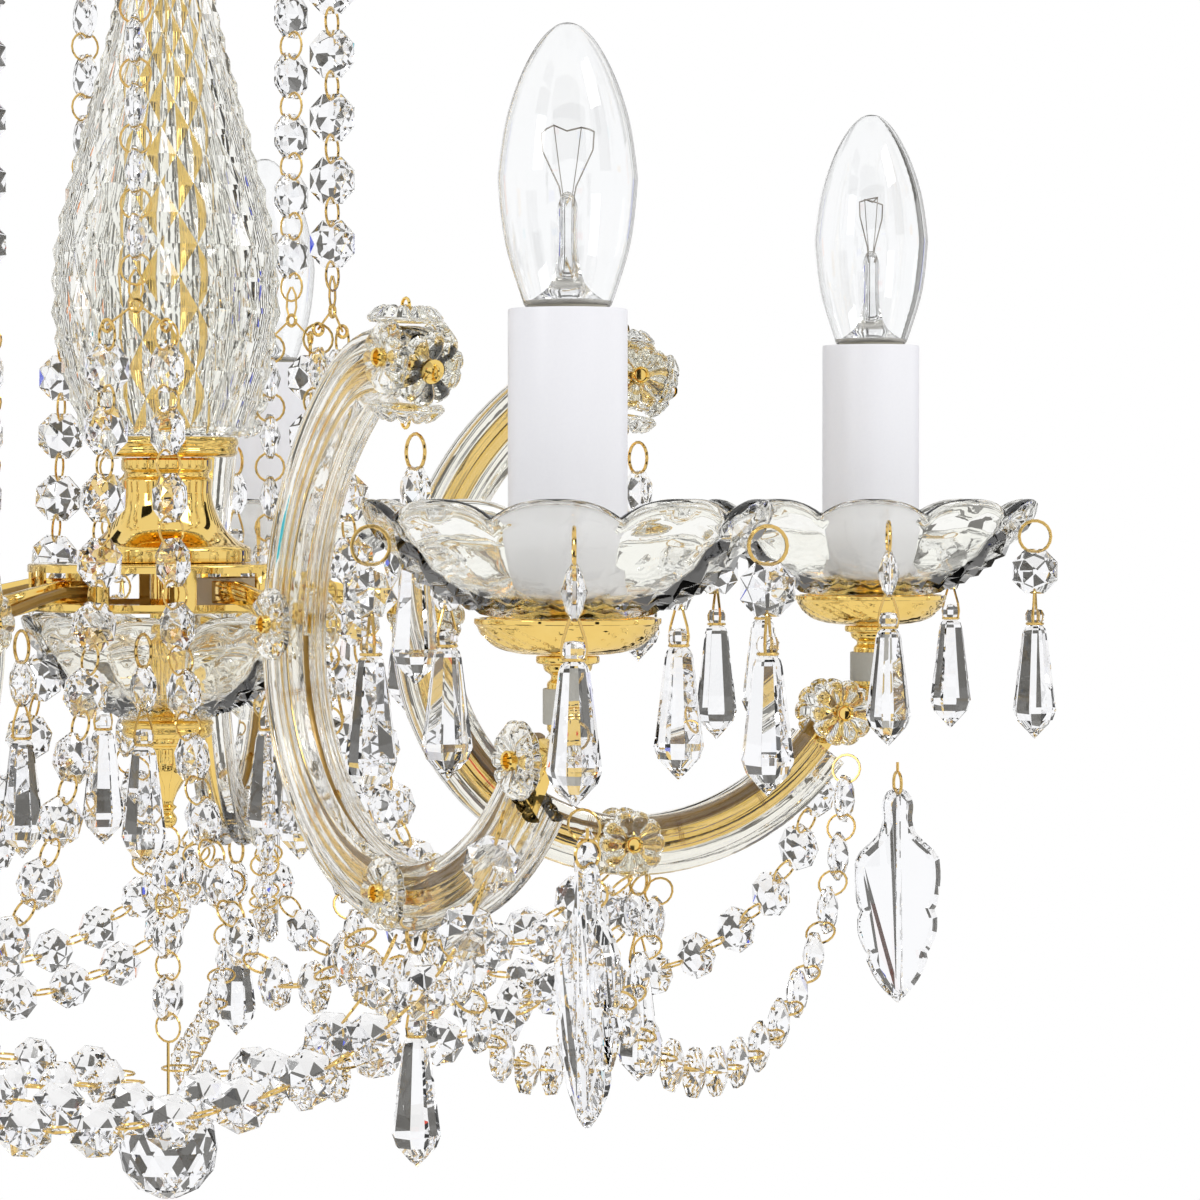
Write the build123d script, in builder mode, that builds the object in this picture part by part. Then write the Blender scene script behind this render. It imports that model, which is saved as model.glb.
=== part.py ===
from build123d import *
import math
import os

os.makedirs("parts", exist_ok=True)

# A five-arm crystal chandelier: gold-plated brass, moulded glass and strung crystals.
# The origin is the centre of the hanging eye, +Z is up, and the first arm lies along +X.
# Heights in the list below are measured from the plane of the candle pans' rims.

# Overall
arm_count = 5
candle_radius = 220.0          # chandelier axis to candle axis
eye_height = 262.0             # hanging eye above the pan rims
fit = 0.25                     # clearance between pieces that slide or stack on each other

# Hanging eye and centre tube
eye_bore_radius = 9.0
eye_wall = 3.5
eye_width = 5.0
eye_flange_radius = 12.0
eye_flange_height = 5.0
crown_height = 216.0           # underside of the crown dish's foot
tube_radius = 5.0
tube_wall = 1.0

# Column glass and the turned brass under it
column_foot_height = 18.5
column_foot_radius = 25.0
column_belly_radius = 34.0
column_belly_height = 43.0     # heights of the glass's shape, above its foot
column_waist_radius = 25.5
column_waist_height = 88.0
column_neck_radius = 11.0
column_neck_height = 160.0
column_rim_height = 2.0
column_wall = 4.0
collar_radius = 21.5
collar_thickness = 6.2
bell_neck_radius = 13.4
bell_foot_radius = 25.0
bell_wall = 2.0
bell_neck_length = 10.0
turned_edge = 1.5              # bevel on the turned brass and under the collar

# Hub ring with its windows, glass bowl, nut and finial
hub_radius = 41.0
hub_top = -19.0
hub_depth = 14.0
hub_wall = 1.6
window_width = 19.0
window_height = 9.0
windows_per_arm = 2
window_cut = 12.0              # radial length of the tool that cuts a window
terminal_block_size = (30.0, 14.0, 8.0)
terminal_columns = 3
terminal_rows = 2
terminal_bore = 1.6
bowl_radius = 43.0
bowl_depth = 31.0
bowl_foot_radius = 12.0
bowl_hole_radius = 38.0
nut_radius = 14.0
nut_thickness = 5.5
finial_length = 24.0
finial_radius = 6.6
finial_waist = 1.8

# Arm: flat bar between two moulded glass strips, with a flat cable on its inner edge
bar_width = 6.5
bar_thickness = 3.0
strip_width = 18.0
strip_thickness = 4.5
strip_share = 0.8              # part of the last arc that the glass strips cover
cable_width = 6.0
cable_thickness = 3.2
arm_standoff = 37.0            # hub ring to the back of the arm
arm_back_height = -38.0
arm_bottom_height = -106.0
arm_shoulder_height = 29.0
arm_tip_height = 35.0
arm_end_height = -62.0
tip_gap = 70.0                 # candle axis to the curled tip
shoulder_reach = 34.0          # back of the arm to the curl's shoulder
tip_heading = 160.0            # direction of the bar as it leaves the tip, in degrees
bracket_height = -27.0
bracket_drop = 6.0

# Candle: stem, cup, pan, sleeve, lampholder and bulb
stem_radius = 5.25
stem_foot_height = -68.0
nipple_radius = 4.6
flange_radius = 8.0
flange_thickness = 2.3
cup_radius = 23.5
cup_height = 9.1
cup_wall = 1.2
pan_radius = 52.0
pan_depth = 29.6
pan_wall = 3.6
pan_foot_radius = 19.0
petal_count = 10
petal_depth = 4.5
pan_hole_radius = 47.0
pan_hole_drop = 11.0
pan_hole_size = 1.2
pan_turn = -31.0               # first drop's direction, from straight out along the arm
sleeve_radius = 15.0
sleeve_wall = 1.2
sleeve_top = 47.5
holder_radius = 12.6
holder_bore_radius = 7.6
holder_base = 6.0
cap_radius = 6.9
cap_length = 24.0
bulb_radius = 17.5
bulb_foot_radius = 11.0
bulb_height = 70.5
bulb_wall = 1.0

# Strung crystals, drops and pendants
crystal_radius = 7.0
crystal_thickness = 6.4
crystal_pitch = 18.5
wire_radius = 0.6
eyelet_radius = 1.9            # small ring that a hanging crystal swings on
eyelet_bore = 1.1
eyelet_thickness = 1.8
drop_length = 40.0
drop_shoulder = 6.75
drop_top_radius = 3.0
drop_tip_length = 9.0
drop_neck = 2.0                # eyelet to the crystal's rim
drop_gap = 4.5                 # crystal's rim to the drop's top
drops_per_pan = 5
rosette_radius = 10.3
rosette_thickness = 5.0
rosette_sides = 12
string_radius = 54.0
string_foot_height = 57.0
crown_pull = 50.0              # pulls are how hard a string's end steers its curve
hub_swag_pull = 190.0
hub_swag_foot_pull = (45.0, 40.0)
bottom_swag_pull = 70.0
end_swag_pull = 115.0
ball_string_pull = 45.0
ball_string_reach = 55.0
string_spread = 9.0            # half the gap between the two swags that leave one string
leaf_length = 67.0
leaf_width = 28.0
leaf_thickness = 6.5
leaf_radius = 229.0
leaf_top = -90.0
leaf_wire = 8.0                # pendant's top to its eyelet
leaf_bevel = 1.2
ball_radius = 15.0
ball_height = -193.0
ball_crystals = 3
ball_crystal_turn = 27.0       # direction that the crystals above the ball face

# Worked-out places
arm_step = 360.0 / arm_count
arm_angles = [arm_step * k for k in range(arm_count)]
gap_angles = [angle + arm_step / 2 for angle in arm_angles]
arm_back = hub_radius + arm_standoff
tip_radius = candle_radius - tip_gap
arm_bottom_radius = (arm_back + candle_radius) / 2 - 4.0
arm_end_radius = candle_radius - stem_radius - fit - bar_width / 2
hub_bottom = hub_top - hub_depth
bowl_rim = hub_bottom - 1.0
bowl_foot = bowl_rim - bowl_depth
strip_face = bar_thickness / 2 + strip_thickness
crown_dish_rim = crown_height + pan_depth


def level(height):
    """Z of a height that is measured from the pan rims."""
    return height - eye_height


def spot(radius, angle, height):
    """Point at a distance from the axis, in a direction, at a height."""
    turn = math.radians(angle)
    return Vector(radius * math.cos(turn), radius * math.sin(turn), level(height))


def radial_plane(angle, aside=0.0):
    """Upright plane through the axis, X outward and Y up, moved sideways by aside."""
    outward = Vector(1, 0, 0).rotate(Axis.Z, angle)
    sideways = outward.cross(Vector(0, 0, 1))
    return Plane(origin=sideways * aside, x_dir=outward, z_dir=sideways)


def upright_plane(height):
    """Upright plane on the chandelier's axis, X along the first arm and Y up from a height."""
    return Plane(origin=(0, 0, level(height)), x_dir=(1, 0, 0), z_dir=(0, -1, 0))


def save(piece, name):
    """Label a finished piece and write its file."""
    piece.part.label = name
    export_step(piece.part, f"parts/{name}.step")


def candle_axes():
    """Upright planes on each candle axis, X outward and Y up from the pan rim."""
    planes = []
    for angle in arm_angles:
        outward = Vector(1, 0, 0).rotate(Axis.Z, angle)
        origin = spot(candle_radius, angle, 0.0)
        planes.append(Plane(origin=origin, x_dir=outward, z_dir=outward.cross(Vector(0, 0, 1))))
    return planes


def turned(points, plane):
    """Revolve a closed outline of (radius, height) about its plane's Y axis."""
    with BuildSketch(plane) as outline:
        with BuildLine():
            Polyline(*points, close=True)
        make_face()
    revolve(outline.sketch, axis=Axis(plane.origin, plane.y_dir))


def scalloped_dish(plane, rim_radius, depth, foot_radius, bore_radius):
    """Bowl with a petal rim: a curved wall hollowed to the same curve, notched between petals."""
    axis = Axis(plane.origin, plane.y_dir)
    for inset, mode in ((0.0, Mode.ADD), (pan_wall, Mode.SUBTRACT)):
        foot = (foot_radius, -depth + inset)
        shoulder = (0.78 * rim_radius - inset * 0.7, -0.62 * depth + inset * 0.7)
        rim = (rim_radius - inset, 0)
        with BuildSketch(plane) as half:
            with BuildLine():
                ThreePointArc(foot, shoulder, rim)
                Polyline(rim, (0, 0), (0, -depth + inset), foot)
            make_face()
        revolve(half.sketch, axis=axis, mode=mode)
    half_notch = rim_radius * math.tan(math.pi / petal_count) * 0.8
    for k in range(petal_count):
        outward = plane.x_dir.rotate(Axis((0, 0, 0), plane.y_dir), (k + 0.5) * 360.0 / petal_count)
        notch_plane = Plane(origin=plane.origin + outward * rim_radius * 0.6,
                            x_dir=outward.cross(plane.y_dir), z_dir=outward)
        rise = 1.0 if notch_plane.y_dir.dot(plane.y_dir) > 0 else -1.0
        with BuildSketch(notch_plane) as notch:
            with BuildLine():
                Polyline((-half_notch, rise), (half_notch, rise), (0, -rise * petal_depth), close=True)
            make_face()
        extrude(notch.sketch, amount=rim_radius * 0.6, mode=Mode.SUBTRACT)
    bore_plane = Plane(origin=plane.origin - plane.y_dir * (depth + 1), x_dir=plane.x_dir,
                       z_dir=plane.y_dir)
    with BuildSketch(bore_plane) as bore:
        Circle(bore_radius)
    extrude(bore.sketch, amount=pan_wall + 2.0, mode=Mode.SUBTRACT)


def hook_holes(plane, hole_ring_radius, hole_drop, count, turn):
    """Drill radial holes below a dish's rim for the wire hooks."""
    for k in range(count):
        outward = plane.x_dir.rotate(Axis((0, 0, 0), Vector(0, 0, 1)), turn + k * 360.0 / count)
        start = plane.origin + outward * hole_ring_radius * 0.75 - Vector(0, 0, hole_drop)
        with BuildSketch(Plane(origin=start, z_dir=outward)) as hole:
            Circle(pan_hole_size)
        extrude(hole.sketch, amount=hole_ring_radius * 0.5, mode=Mode.SUBTRACT)


def centre_bore(radius, low, high):
    """Bore on the chandelier's axis between two heights."""
    with BuildSketch(Plane.XY.offset(level(low))) as bore:
        Circle(radius)
    extrude(bore.sketch, amount=high - low, mode=Mode.SUBTRACT)


# ---------------------------------------------------------------- hanging eye and centre tube
eye_outer_radius = eye_bore_radius + eye_wall
flange_top = crown_height + pan_wall + eye_flange_height + fit
with BuildPart() as hanging_eye:
    with BuildSketch(Plane.XZ):
        Circle(eye_outer_radius)
    extrude(amount=eye_width / 2, both=True)
    turned([(0, level(flange_top)), (eye_flange_radius, level(flange_top - 2.0)),
            (eye_flange_radius, level(crown_height + pan_wall + fit)),
            (0, level(crown_height + pan_wall + fit))], Plane.XZ)
    with BuildSketch(Plane.XY.offset(level(flange_top - 1.0))):
        Circle(eye_wall + 1.0)
    extrude(amount=-eye_bore_radius - level(flange_top - 1.0) - 1.0)
    with BuildSketch(Plane.XZ):
        Circle(eye_bore_radius)
    extrude(amount=eye_width, both=True, mode=Mode.SUBTRACT)
    centre_bore(tube_radius + fit, crown_height, flange_top - 3.0)
save(hanging_eye, "hanging_eye")

tube_foot = bowl_foot - nut_thickness
with BuildPart() as centre_tube:
    with BuildSketch(Plane.XY.offset(level(tube_foot))):
        Circle(tube_radius)
        Circle(tube_radius - tube_wall, mode=Mode.SUBTRACT)
    extrude(amount=flange_top - 3.5 - tube_foot)
save(centre_tube, "centre_tube")

crown_plane = upright_plane(crown_dish_rim)
with BuildPart() as crown_dish:
    scalloped_dish(crown_plane, pan_radius, pan_depth, pan_foot_radius, tube_radius + fit)
    hook_holes(crown_plane, pan_hole_radius, pan_hole_drop, arm_count, arm_step / 2)
save(crown_dish, "crown_dish")

# ---------------------------------------------------------------- column glass, collar and bell
column_top = crown_height - fit
with BuildPart() as column_glass:
    for inset, overrun, mode in ((0.0, 0.0, Mode.ADD), (column_wall, 1.0, Mode.SUBTRACT)):
        foot = level(column_foot_height - overrun)
        top = level(column_top + overrun)
        with BuildSketch(Plane.XZ) as half:
            with BuildLine():
                skin = Spline((column_foot_radius - inset, level(column_foot_height + column_rim_height)),
                              (column_belly_radius - inset,
                               level(column_foot_height + column_belly_height)),
                              (column_waist_radius - inset,
                               level(column_foot_height + column_waist_height)),
                              (column_neck_radius - inset,
                               level(column_foot_height + column_neck_height)),
                              tangents=((0.6, 1.0), (0.0, 1.0)))
                Polyline(skin @ 1, (column_neck_radius - inset, top), (0, top), (0, foot),
                         (column_foot_radius - inset, foot), skin @ 0)
            make_face()
        revolve(half.sketch, axis=Axis.Z, mode=mode)
save(column_glass, "column_glass")

collar_foot = column_foot_height - collar_thickness
with BuildPart() as column_collar:
    turned([(tube_radius + fit, level(collar_foot)), (collar_radius - turned_edge, level(collar_foot)),
            (collar_radius, level(collar_foot + turned_edge)), (collar_radius, level(column_foot_height - fit)),
            (tube_radius + fit, level(column_foot_height - fit))], Plane.XZ)
save(column_collar, "column_collar")

bell_top = collar_foot - fit
bell_foot = hub_top + fit
with BuildPart() as neck_bell:
    with BuildSketch(Plane.XZ):
        with BuildLine():
            skirt = Spline((bell_neck_radius, level(bell_top - bell_neck_length)),
                           (bell_neck_radius + 3.0, level(bell_top - bell_neck_length - 9.0)),
                           (bell_foot_radius, level(bell_foot + 5.0)),
                           tangents=((0.0, -1.0), (1.0, -0.5)))
            Polyline(skirt @ 1, (bell_foot_radius, level(bell_foot)),
                     (bell_foot_radius - bell_wall, level(bell_foot)),
                     (bell_foot_radius - bell_wall, level(bell_foot + 4.0)),
                     (tube_radius + fit, level(bell_top - bell_neck_length - 4.0)), (tube_radius + fit, level(bell_top)),
                     (bell_neck_radius, level(bell_top)), skirt @ 0)
        make_face()
    revolve(axis=Axis.Z)
save(neck_bell, "neck_bell")

# ---------------------------------------------------------------- hub ring and terminal block
window_plane_height = hub_bottom + hub_depth / 2
with BuildPart() as hub_ring:
    turned([(tube_radius + fit, level(hub_top)), (hub_radius, level(hub_top)),
            (hub_radius, level(hub_bottom)), (tube_radius + fit, level(hub_bottom)),
            (tube_radius + fit, level(hub_bottom + hub_wall)),
            (hub_radius - hub_wall, level(hub_bottom + hub_wall)),
            (hub_radius - hub_wall, level(hub_top - hub_wall)),
            (tube_radius + fit, level(hub_top - hub_wall))], Plane.XZ)
    for k in range(windows_per_arm * arm_count):
        outward = Vector(1, 0, 0).rotate(Axis.Z, k * arm_step / windows_per_arm)
        window = Plane(origin=outward * (hub_radius - window_cut / 2) + Vector(0, 0, level(window_plane_height)),
                       x_dir=outward.cross(Vector(0, 0, 1)), z_dir=outward)
        with BuildSketch(window):
            Rectangle(window_width, window_height)
        extrude(amount=window_cut, mode=Mode.SUBTRACT)
save(hub_ring, "hub_ring")

block_length, block_width, block_height = terminal_block_size
with BuildPart() as terminal_block:
    gap_turn = gap_angles[0]
    block_origin = spot((tube_radius + hub_radius) / 2 - 2.0, gap_turn, hub_bottom + hub_wall + fit)
    across = Vector(0, 1, 0).rotate(Axis.Z, gap_turn)
    with BuildSketch(Plane(origin=block_origin, x_dir=across, z_dir=(0, 0, 1))):
        Rectangle(block_length, block_width)
    extrude(amount=block_height)
    with BuildSketch(Plane(origin=block_origin, x_dir=across, z_dir=(0, 0, 1))):
        with GridLocations(block_length / terminal_columns, block_width / terminal_rows,
                           terminal_columns, terminal_rows):
            Circle(terminal_bore)
    extrude(amount=block_height, mode=Mode.SUBTRACT)
save(terminal_block, "terminal_block")

# ---------------------------------------------------------------- hub bowl, nut and finial
bowl_plane = upright_plane(bowl_rim)
with BuildPart() as hub_bowl:
    scalloped_dish(bowl_plane, bowl_radius, bowl_depth, bowl_foot_radius, tube_radius + fit)
    hook_holes(bowl_plane, bowl_hole_radius, pan_hole_drop, arm_count, arm_step / 2)
save(hub_bowl, "hub_bowl")

nut_top = bowl_foot - fit
nut_foot = nut_top - nut_thickness
with BuildPart() as bowl_nut:
    turned([(tube_radius + fit, level(nut_top)), (nut_radius, level(nut_top)),
            (nut_radius, level(nut_foot + turned_edge)), (nut_radius - turned_edge, level(nut_foot)),
            (tube_radius + fit, level(nut_foot))], Plane.XZ)
save(bowl_nut, "bowl_nut")

finial_top = nut_foot - fit
finial_foot = finial_top - finial_length
with BuildPart() as finial:
    with BuildSketch(Plane.XZ):
        with BuildLine():
            body = Spline((finial_radius + 1.0, level(finial_top - 2.0)),
                          (finial_radius, level(finial_top - 0.3 * finial_length)),
                          (finial_waist, level(finial_foot + 0.25 * finial_length)))
            Polyline(body @ 1, (finial_waist, level(finial_foot)), (0, level(finial_foot)),
                     (0, level(finial_top)), (finial_radius + 1.0, level(finial_top)), body @ 0)
        make_face()
    revolve(axis=Axis.Z)
    with Locations((0, 0, level(finial_foot))):
        Sphere(finial_waist + 1.0)
save(finial, "finial")

# ---------------------------------------------------------------- arms
arm_points = [(tip_radius, level(arm_tip_height)),
              (arm_back + shoulder_reach, level(arm_shoulder_height)),
              (arm_back, level(arm_back_height)),
              (arm_bottom_radius, level(arm_bottom_height)),
              (arm_end_radius, level(arm_end_height))]


with BuildLine() as arm_line:
    heading = (math.cos(math.radians(tip_heading)), math.sin(math.radians(tip_heading)))
    curl = TangentArc(arm_points[0], arm_points[1], tangent=heading)
    back = TangentArc(arm_points[1], arm_points[2], tangent=curl % 1)
    belly = TangentArc(arm_points[2], arm_points[3], tangent=back % 1)
    rise = TangentArc(arm_points[3], arm_points[4], tangent=belly % 1)

with BuildLine() as strip_line:
    add(curl)
    add(back)
    add(belly)
    add(rise.trim(0.0, strip_share))

with BuildLine() as cable_line:
    add(belly)
    add(rise)


def band(line, angle, aside, inward, width, thickness):
    """Sweep a flat section along an arm line, moved sideways and in towards the curve's middle."""
    plane = radial_plane(angle, aside)
    path = plane.location * line.line
    start = Plane(origin=path @ 0, x_dir=plane.z_dir, z_dir=path % 0)
    with BuildSketch(start) as section:
        with Locations((0, -inward)):
            Rectangle(thickness, width)
    sweep(section.sketch, path=path)


with BuildPart() as arm_bars:
    for angle in arm_angles:
        band(arm_line, angle, 0.0, 0.0, bar_width, bar_thickness)
        inner_end = hub_radius - 10.0
        outer_end = arm_back - bar_width / 4
        with BuildSketch(radial_plane(angle)):
            with BuildLine():
                half = bar_width / 2
                Polyline((inner_end, level(bracket_height + half)),
                         (inner_end, level(bracket_height - half)),
                         (hub_radius + 4.0, level(bracket_height - half)),
                         (outer_end, level(bracket_height - bracket_drop - half)),
                         (outer_end, level(bracket_height - bracket_drop + half)),
                         (hub_radius + 4.0, level(bracket_height + half)), close=True)
            make_face()
        extrude(amount=bar_thickness / 2, both=True)
save(arm_bars, "arm_bars")

with BuildPart() as arm_strips:
    for angle in arm_angles:
        for side in (-1, 1):
            aside = side * (bar_thickness + strip_thickness + fit) / 2
            band(strip_line, angle, aside, 0.0, strip_width, strip_thickness - fit)
save(arm_strips, "arm_strips")

with BuildPart() as arm_cables:
    for angle in arm_angles:
        band(cable_line, angle, 0.0, bar_width / 2 + cable_thickness / 2 + fit, cable_thickness,
             bar_thickness)
        beside = bar_thickness / 2 + fit
        with BuildSketch(radial_plane(angle, beside)):
            with BuildLine():
                half = cable_width / 2
                reach = arm_back - strip_width / 2 - 2 * fit
                Polyline((hub_radius - 8.0, level(bracket_height + half)),
                         (hub_radius - 8.0, level(bracket_height - half)),
                         (hub_radius + 4.0, level(bracket_height - half)),
                         (reach, level(bracket_height - bracket_drop - half)),
                         (reach, level(bracket_height - bracket_drop + half)),
                         (hub_radius + 4.0, level(bracket_height + half)), close=True)
            make_face()
        extrude(amount=cable_thickness)
save(arm_cables, "arm_cables")

# ---------------------------------------------------------------- candles
candle_planes = candle_axes()
pan_floor = -pan_depth + pan_wall
cup_top = -pan_depth - fit
cup_foot = cup_top - cup_height
nipple_top = pan_floor + holder_base
with BuildPart() as arm_stems:
    for plane in candle_planes:
        turned([(0, stem_foot_height), (stem_radius, stem_foot_height),
                (stem_radius, cup_foot - flange_thickness),
                (flange_radius, cup_foot - flange_thickness), (flange_radius, cup_foot - fit),
                (nipple_radius, cup_foot - fit), (nipple_radius, nipple_top - 1.0),
                (0, nipple_top - 1.0)], plane)
save(arm_stems, "arm_stems")

with BuildPart() as pan_cups:
    for plane in candle_planes:
        with BuildSketch(plane):
            with BuildLine():
                outer = ThreePointArc((cup_radius * 0.42, cup_foot), (cup_radius * 0.8, cup_foot + 2.6),
                                      (cup_radius, cup_top))
                Line(outer @ 1, (cup_radius - cup_wall, cup_top))
                inner = ThreePointArc((cup_radius - cup_wall, cup_top),
                                      (cup_radius * 0.77 - cup_wall, cup_foot + 2.8 + cup_wall),
                                      (cup_radius * 0.42, cup_foot + cup_wall))
                Polyline(inner @ 1, (nipple_radius + fit, cup_foot + cup_wall),
                         (nipple_radius + fit, cup_foot), outer @ 0)
            make_face()
        revolve(axis=Axis(plane.origin, plane.y_dir))
save(pan_cups, "pan_cups")

with BuildPart() as candle_pans:
    for plane in candle_planes:
        scalloped_dish(plane, pan_radius, pan_depth, pan_foot_radius, nipple_radius + fit)
        hook_holes(plane, pan_hole_radius, pan_hole_drop, drops_per_pan, pan_turn)
save(candle_pans, "candle_pans")

with BuildPart() as candle_sleeves:
    for plane in candle_planes:
        turned([(sleeve_radius - sleeve_wall, pan_floor + fit), (sleeve_radius, pan_floor + fit),
                (sleeve_radius, sleeve_top), (sleeve_radius - sleeve_wall, sleeve_top)], plane)
save(candle_sleeves, "candle_sleeves")

holder_top = sleeve_top - 2.0
with BuildPart() as lampholders:
    for plane in candle_planes:
        turned([(nipple_radius + fit, pan_floor + fit), (holder_radius, pan_floor + fit),
                (holder_radius, holder_top), (holder_bore_radius, holder_top),
                (holder_bore_radius, sleeve_top - cap_length - 3.0),
                (0, sleeve_top - cap_length - 3.0), (0, nipple_top), (nipple_radius + fit, nipple_top)],
               plane)
save(lampholders, "lampholders")

bulb_foot = sleeve_top + 1.0
for number, plane in enumerate(candle_planes, start=1):
    with BuildPart() as bulb:
        for inset, mode in ((0.0, Mode.ADD), (bulb_wall, Mode.SUBTRACT)):
            with BuildSketch(plane):
                with BuildLine():
                    shell = Spline((bulb_foot_radius - inset, bulb_foot + inset),
                                   (bulb_radius - inset, bulb_foot + 0.46 * bulb_height),
                                   (0.62 * bulb_radius - inset, bulb_foot + 0.84 * bulb_height),
                                   (0, bulb_foot + bulb_height - inset),
                                   tangents=((0.45, 1.0), (-1.0, 0.25)))
                    Polyline(shell @ 1, (0, bulb_foot + inset), shell @ 0)
                make_face()
            revolve(axis=Axis(plane.origin, plane.y_dir), mode=mode)
        turned([(0, bulb_foot), (cap_radius, bulb_foot), (cap_radius, sleeve_top - cap_length + 4.0),
                (3.0, sleeve_top - cap_length), (0, sleeve_top - cap_length)], plane)
    save(bulb, f"bulb_{number}")

# ---------------------------------------------------------------- crystals on wires


def crystal_outline(radius, thickness):
    """Half section of a strung crystal, drawn as a double cone about X."""
    Polyline((-thickness / 2, 0), (-thickness / 2, radius * 0.35), (0, radius),
             (thickness / 2, radius * 0.35), (thickness / 2, 0), close=True)


def eyelet(plane):
    """Small ring about a plane's origin, its bore along the plane's Z."""
    with BuildSketch(Plane(origin=plane.origin, x_dir=plane.x_dir, z_dir=plane.z_dir)) as ring:
        Circle(eyelet_radius)
        Circle(eyelet_bore, mode=Mode.SUBTRACT)
    extrude(ring.sketch, amount=eyelet_thickness / 2, both=True)


def wire_down(origin, start, end):
    """Straight upright wire between two distances below a point."""
    with BuildSketch(Plane(origin=origin - Vector(0, 0, start), z_dir=(0, 0, 1))) as wire:
        Circle(wire_radius)
    extrude(wire.sketch, amount=start - end)


def hanging_drop(plane):
    """Crystal and pointed drop on one wire, hung from the plane's origin."""
    crystal_centre = -crystal_pitch / 2 - drop_neck
    drop_top = crystal_centre - crystal_radius - drop_gap
    eyelet(plane)
    wire_down(plane.origin, eyelet_bore + wire_radius / 2, 2.0 - drop_top)
    centre = plane.origin + Vector(0, 0, crystal_centre)
    upright = Plane(origin=centre, x_dir=plane.z_dir, z_dir=Vector(0, 0, 1).cross(plane.z_dir))
    with BuildSketch(upright) as half:
        with BuildLine():
            crystal_outline(crystal_radius, crystal_thickness)
        make_face()
    revolve(half.sketch, axis=Axis(centre, plane.z_dir))
    turned([(0, drop_top), (drop_top_radius, drop_top),
            (drop_shoulder, drop_top - drop_length + drop_tip_length),
            (0, drop_top - drop_length)], plane)


for number, (angle, pan_plane) in enumerate(zip(arm_angles, candle_planes), start=1):
    for k in range(drops_per_pan):
        turn = angle + pan_turn + k * 360.0 / drops_per_pan
        outward = Vector(1, 0, 0).rotate(Axis.Z, turn)
        hook = pan_plane.origin + outward * (pan_hole_radius + 4.5) - Vector(0, 0, pan_hole_drop)
        with BuildPart() as pan_drop:
            hanging_drop(Plane(origin=hook, x_dir=outward, z_dir=outward.cross(Vector(0, 0, 1))))
        save(pan_drop, f"pan_drop_{number}_{k + 1}")

with BuildPart() as hung_drops:
    for angle in gap_angles:
        hook = spot(bowl_radius, angle, bowl_rim - pan_hole_drop + 2.0)
        hanging_drop(Plane(origin=hook, x_dir=(1, 0, 0), z_dir=(0, -1, 0)))
    for angle in arm_angles:
        hook = spot(arm_bottom_radius, angle, arm_bottom_height - strip_width / 2 - 1.0)
        hanging_drop(Plane(origin=hook, x_dir=(1, 0, 0), z_dir=(0, -1, 0)))
        tip_hook = spot(tip_radius - 5.0, angle, arm_tip_height - strip_width / 2 - 2 * rosette_thickness
                        - 3.0)
        hanging_drop(Plane(origin=tip_hook, x_dir=(1, 0, 0), z_dir=(0, -1, 0)))
save(hung_drops, "hung_drops")

# ---------------------------------------------------------------- rosettes
rosette_spots = [(arm_back + 0.5, arm_back_height + 3.0),
                 (arm_bottom_radius - 4.0, arm_bottom_height + 1.0),
                 (arm_end_radius - 3.0, arm_end_height - 4.0),
                 (tip_radius - 7.0, arm_tip_height + 2.5)]
tip_rosettes = []
for share, reach, facing in ((0.0, 0.8, -1), (0.28, strip_width / 2 + 0.6, 0),
                             (0.2, strip_width / 2 + 2.6, 1)):
    at = curl @ share
    along = curl % share
    turn = math.degrees(math.atan2(along.Y, along.X))
    tilt = turn + (180.0 if facing == -1 else -90.0 + 180.0 * facing)
    out = Vector(math.cos(math.radians(tilt)), math.sin(math.radians(tilt)))
    tip_rosettes.append((at.X + out.X * reach, at.Y + out.Y * reach, tilt))
with BuildPart() as arm_rosettes:
    for angle in arm_angles:
        for side in (-1, 1):
            with BuildSketch(radial_plane(angle, side * (strip_face + fit))):
                for radius, height in rosette_spots:
                    with Locations((radius, level(height))):
                        RegularPolygon(rosette_radius, rosette_sides)
            extrude(amount=side * rosette_thickness)
        sideways = radial_plane(angle).z_dir
        for radius, height, tilt in tip_rosettes:
            facing = Vector(math.cos(math.radians(tilt)), 0, math.sin(math.radians(tilt)))
            outward = Vector(radius, 0, height).rotate(Axis.Z, angle)
            end = Plane(origin=outward, x_dir=sideways, z_dir=facing.rotate(Axis.Z, angle))
            with BuildSketch(end):
                RegularPolygon(rosette_radius, rosette_sides)
            extrude(amount=rosette_thickness)
save(arm_rosettes, "arm_rosettes")

# ---------------------------------------------------------------- strings of crystals
with BuildPart() as crystal:
    with BuildSketch(Plane.XY):
        with BuildLine():
            crystal_outline(crystal_radius, crystal_thickness)
        make_face()
    revolve(axis=Axis.X)


def string_between(start, start_pull, end_pull, end, ends=(0.0, 0.0)):
    """Places at one pitch along a hanging string, each plane's X pointing along the string."""
    with BuildLine(mode=Mode.PRIVATE) as string:
        Bezier(start, start + start_pull, end + end_pull, end)
    line = string.line.edge()
    usable = line.length - sum(ends)
    count = round(usable / crystal_pitch)
    places = []
    for k in range(count):
        reach = (ends[0] + (k + 0.5) * usable / count) / line.length
        along = line.tangent_at(reach)
        level_side = along.cross(Vector(0, 0, 1))
        if level_side.length < 0.001:
            level_side = start.cross(Vector(0, 0, 1))
        places.append(Plane(origin=line.position_at(reach), x_dir=level_side, z_dir=along).location)
    return places


down = Vector(0, 0, -1)


def inward(angle, amount):
    """Vector of a length that points in towards the axis from a direction."""
    return Vector(-amount, 0, 0).rotate(Axis.Z, angle)


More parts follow.
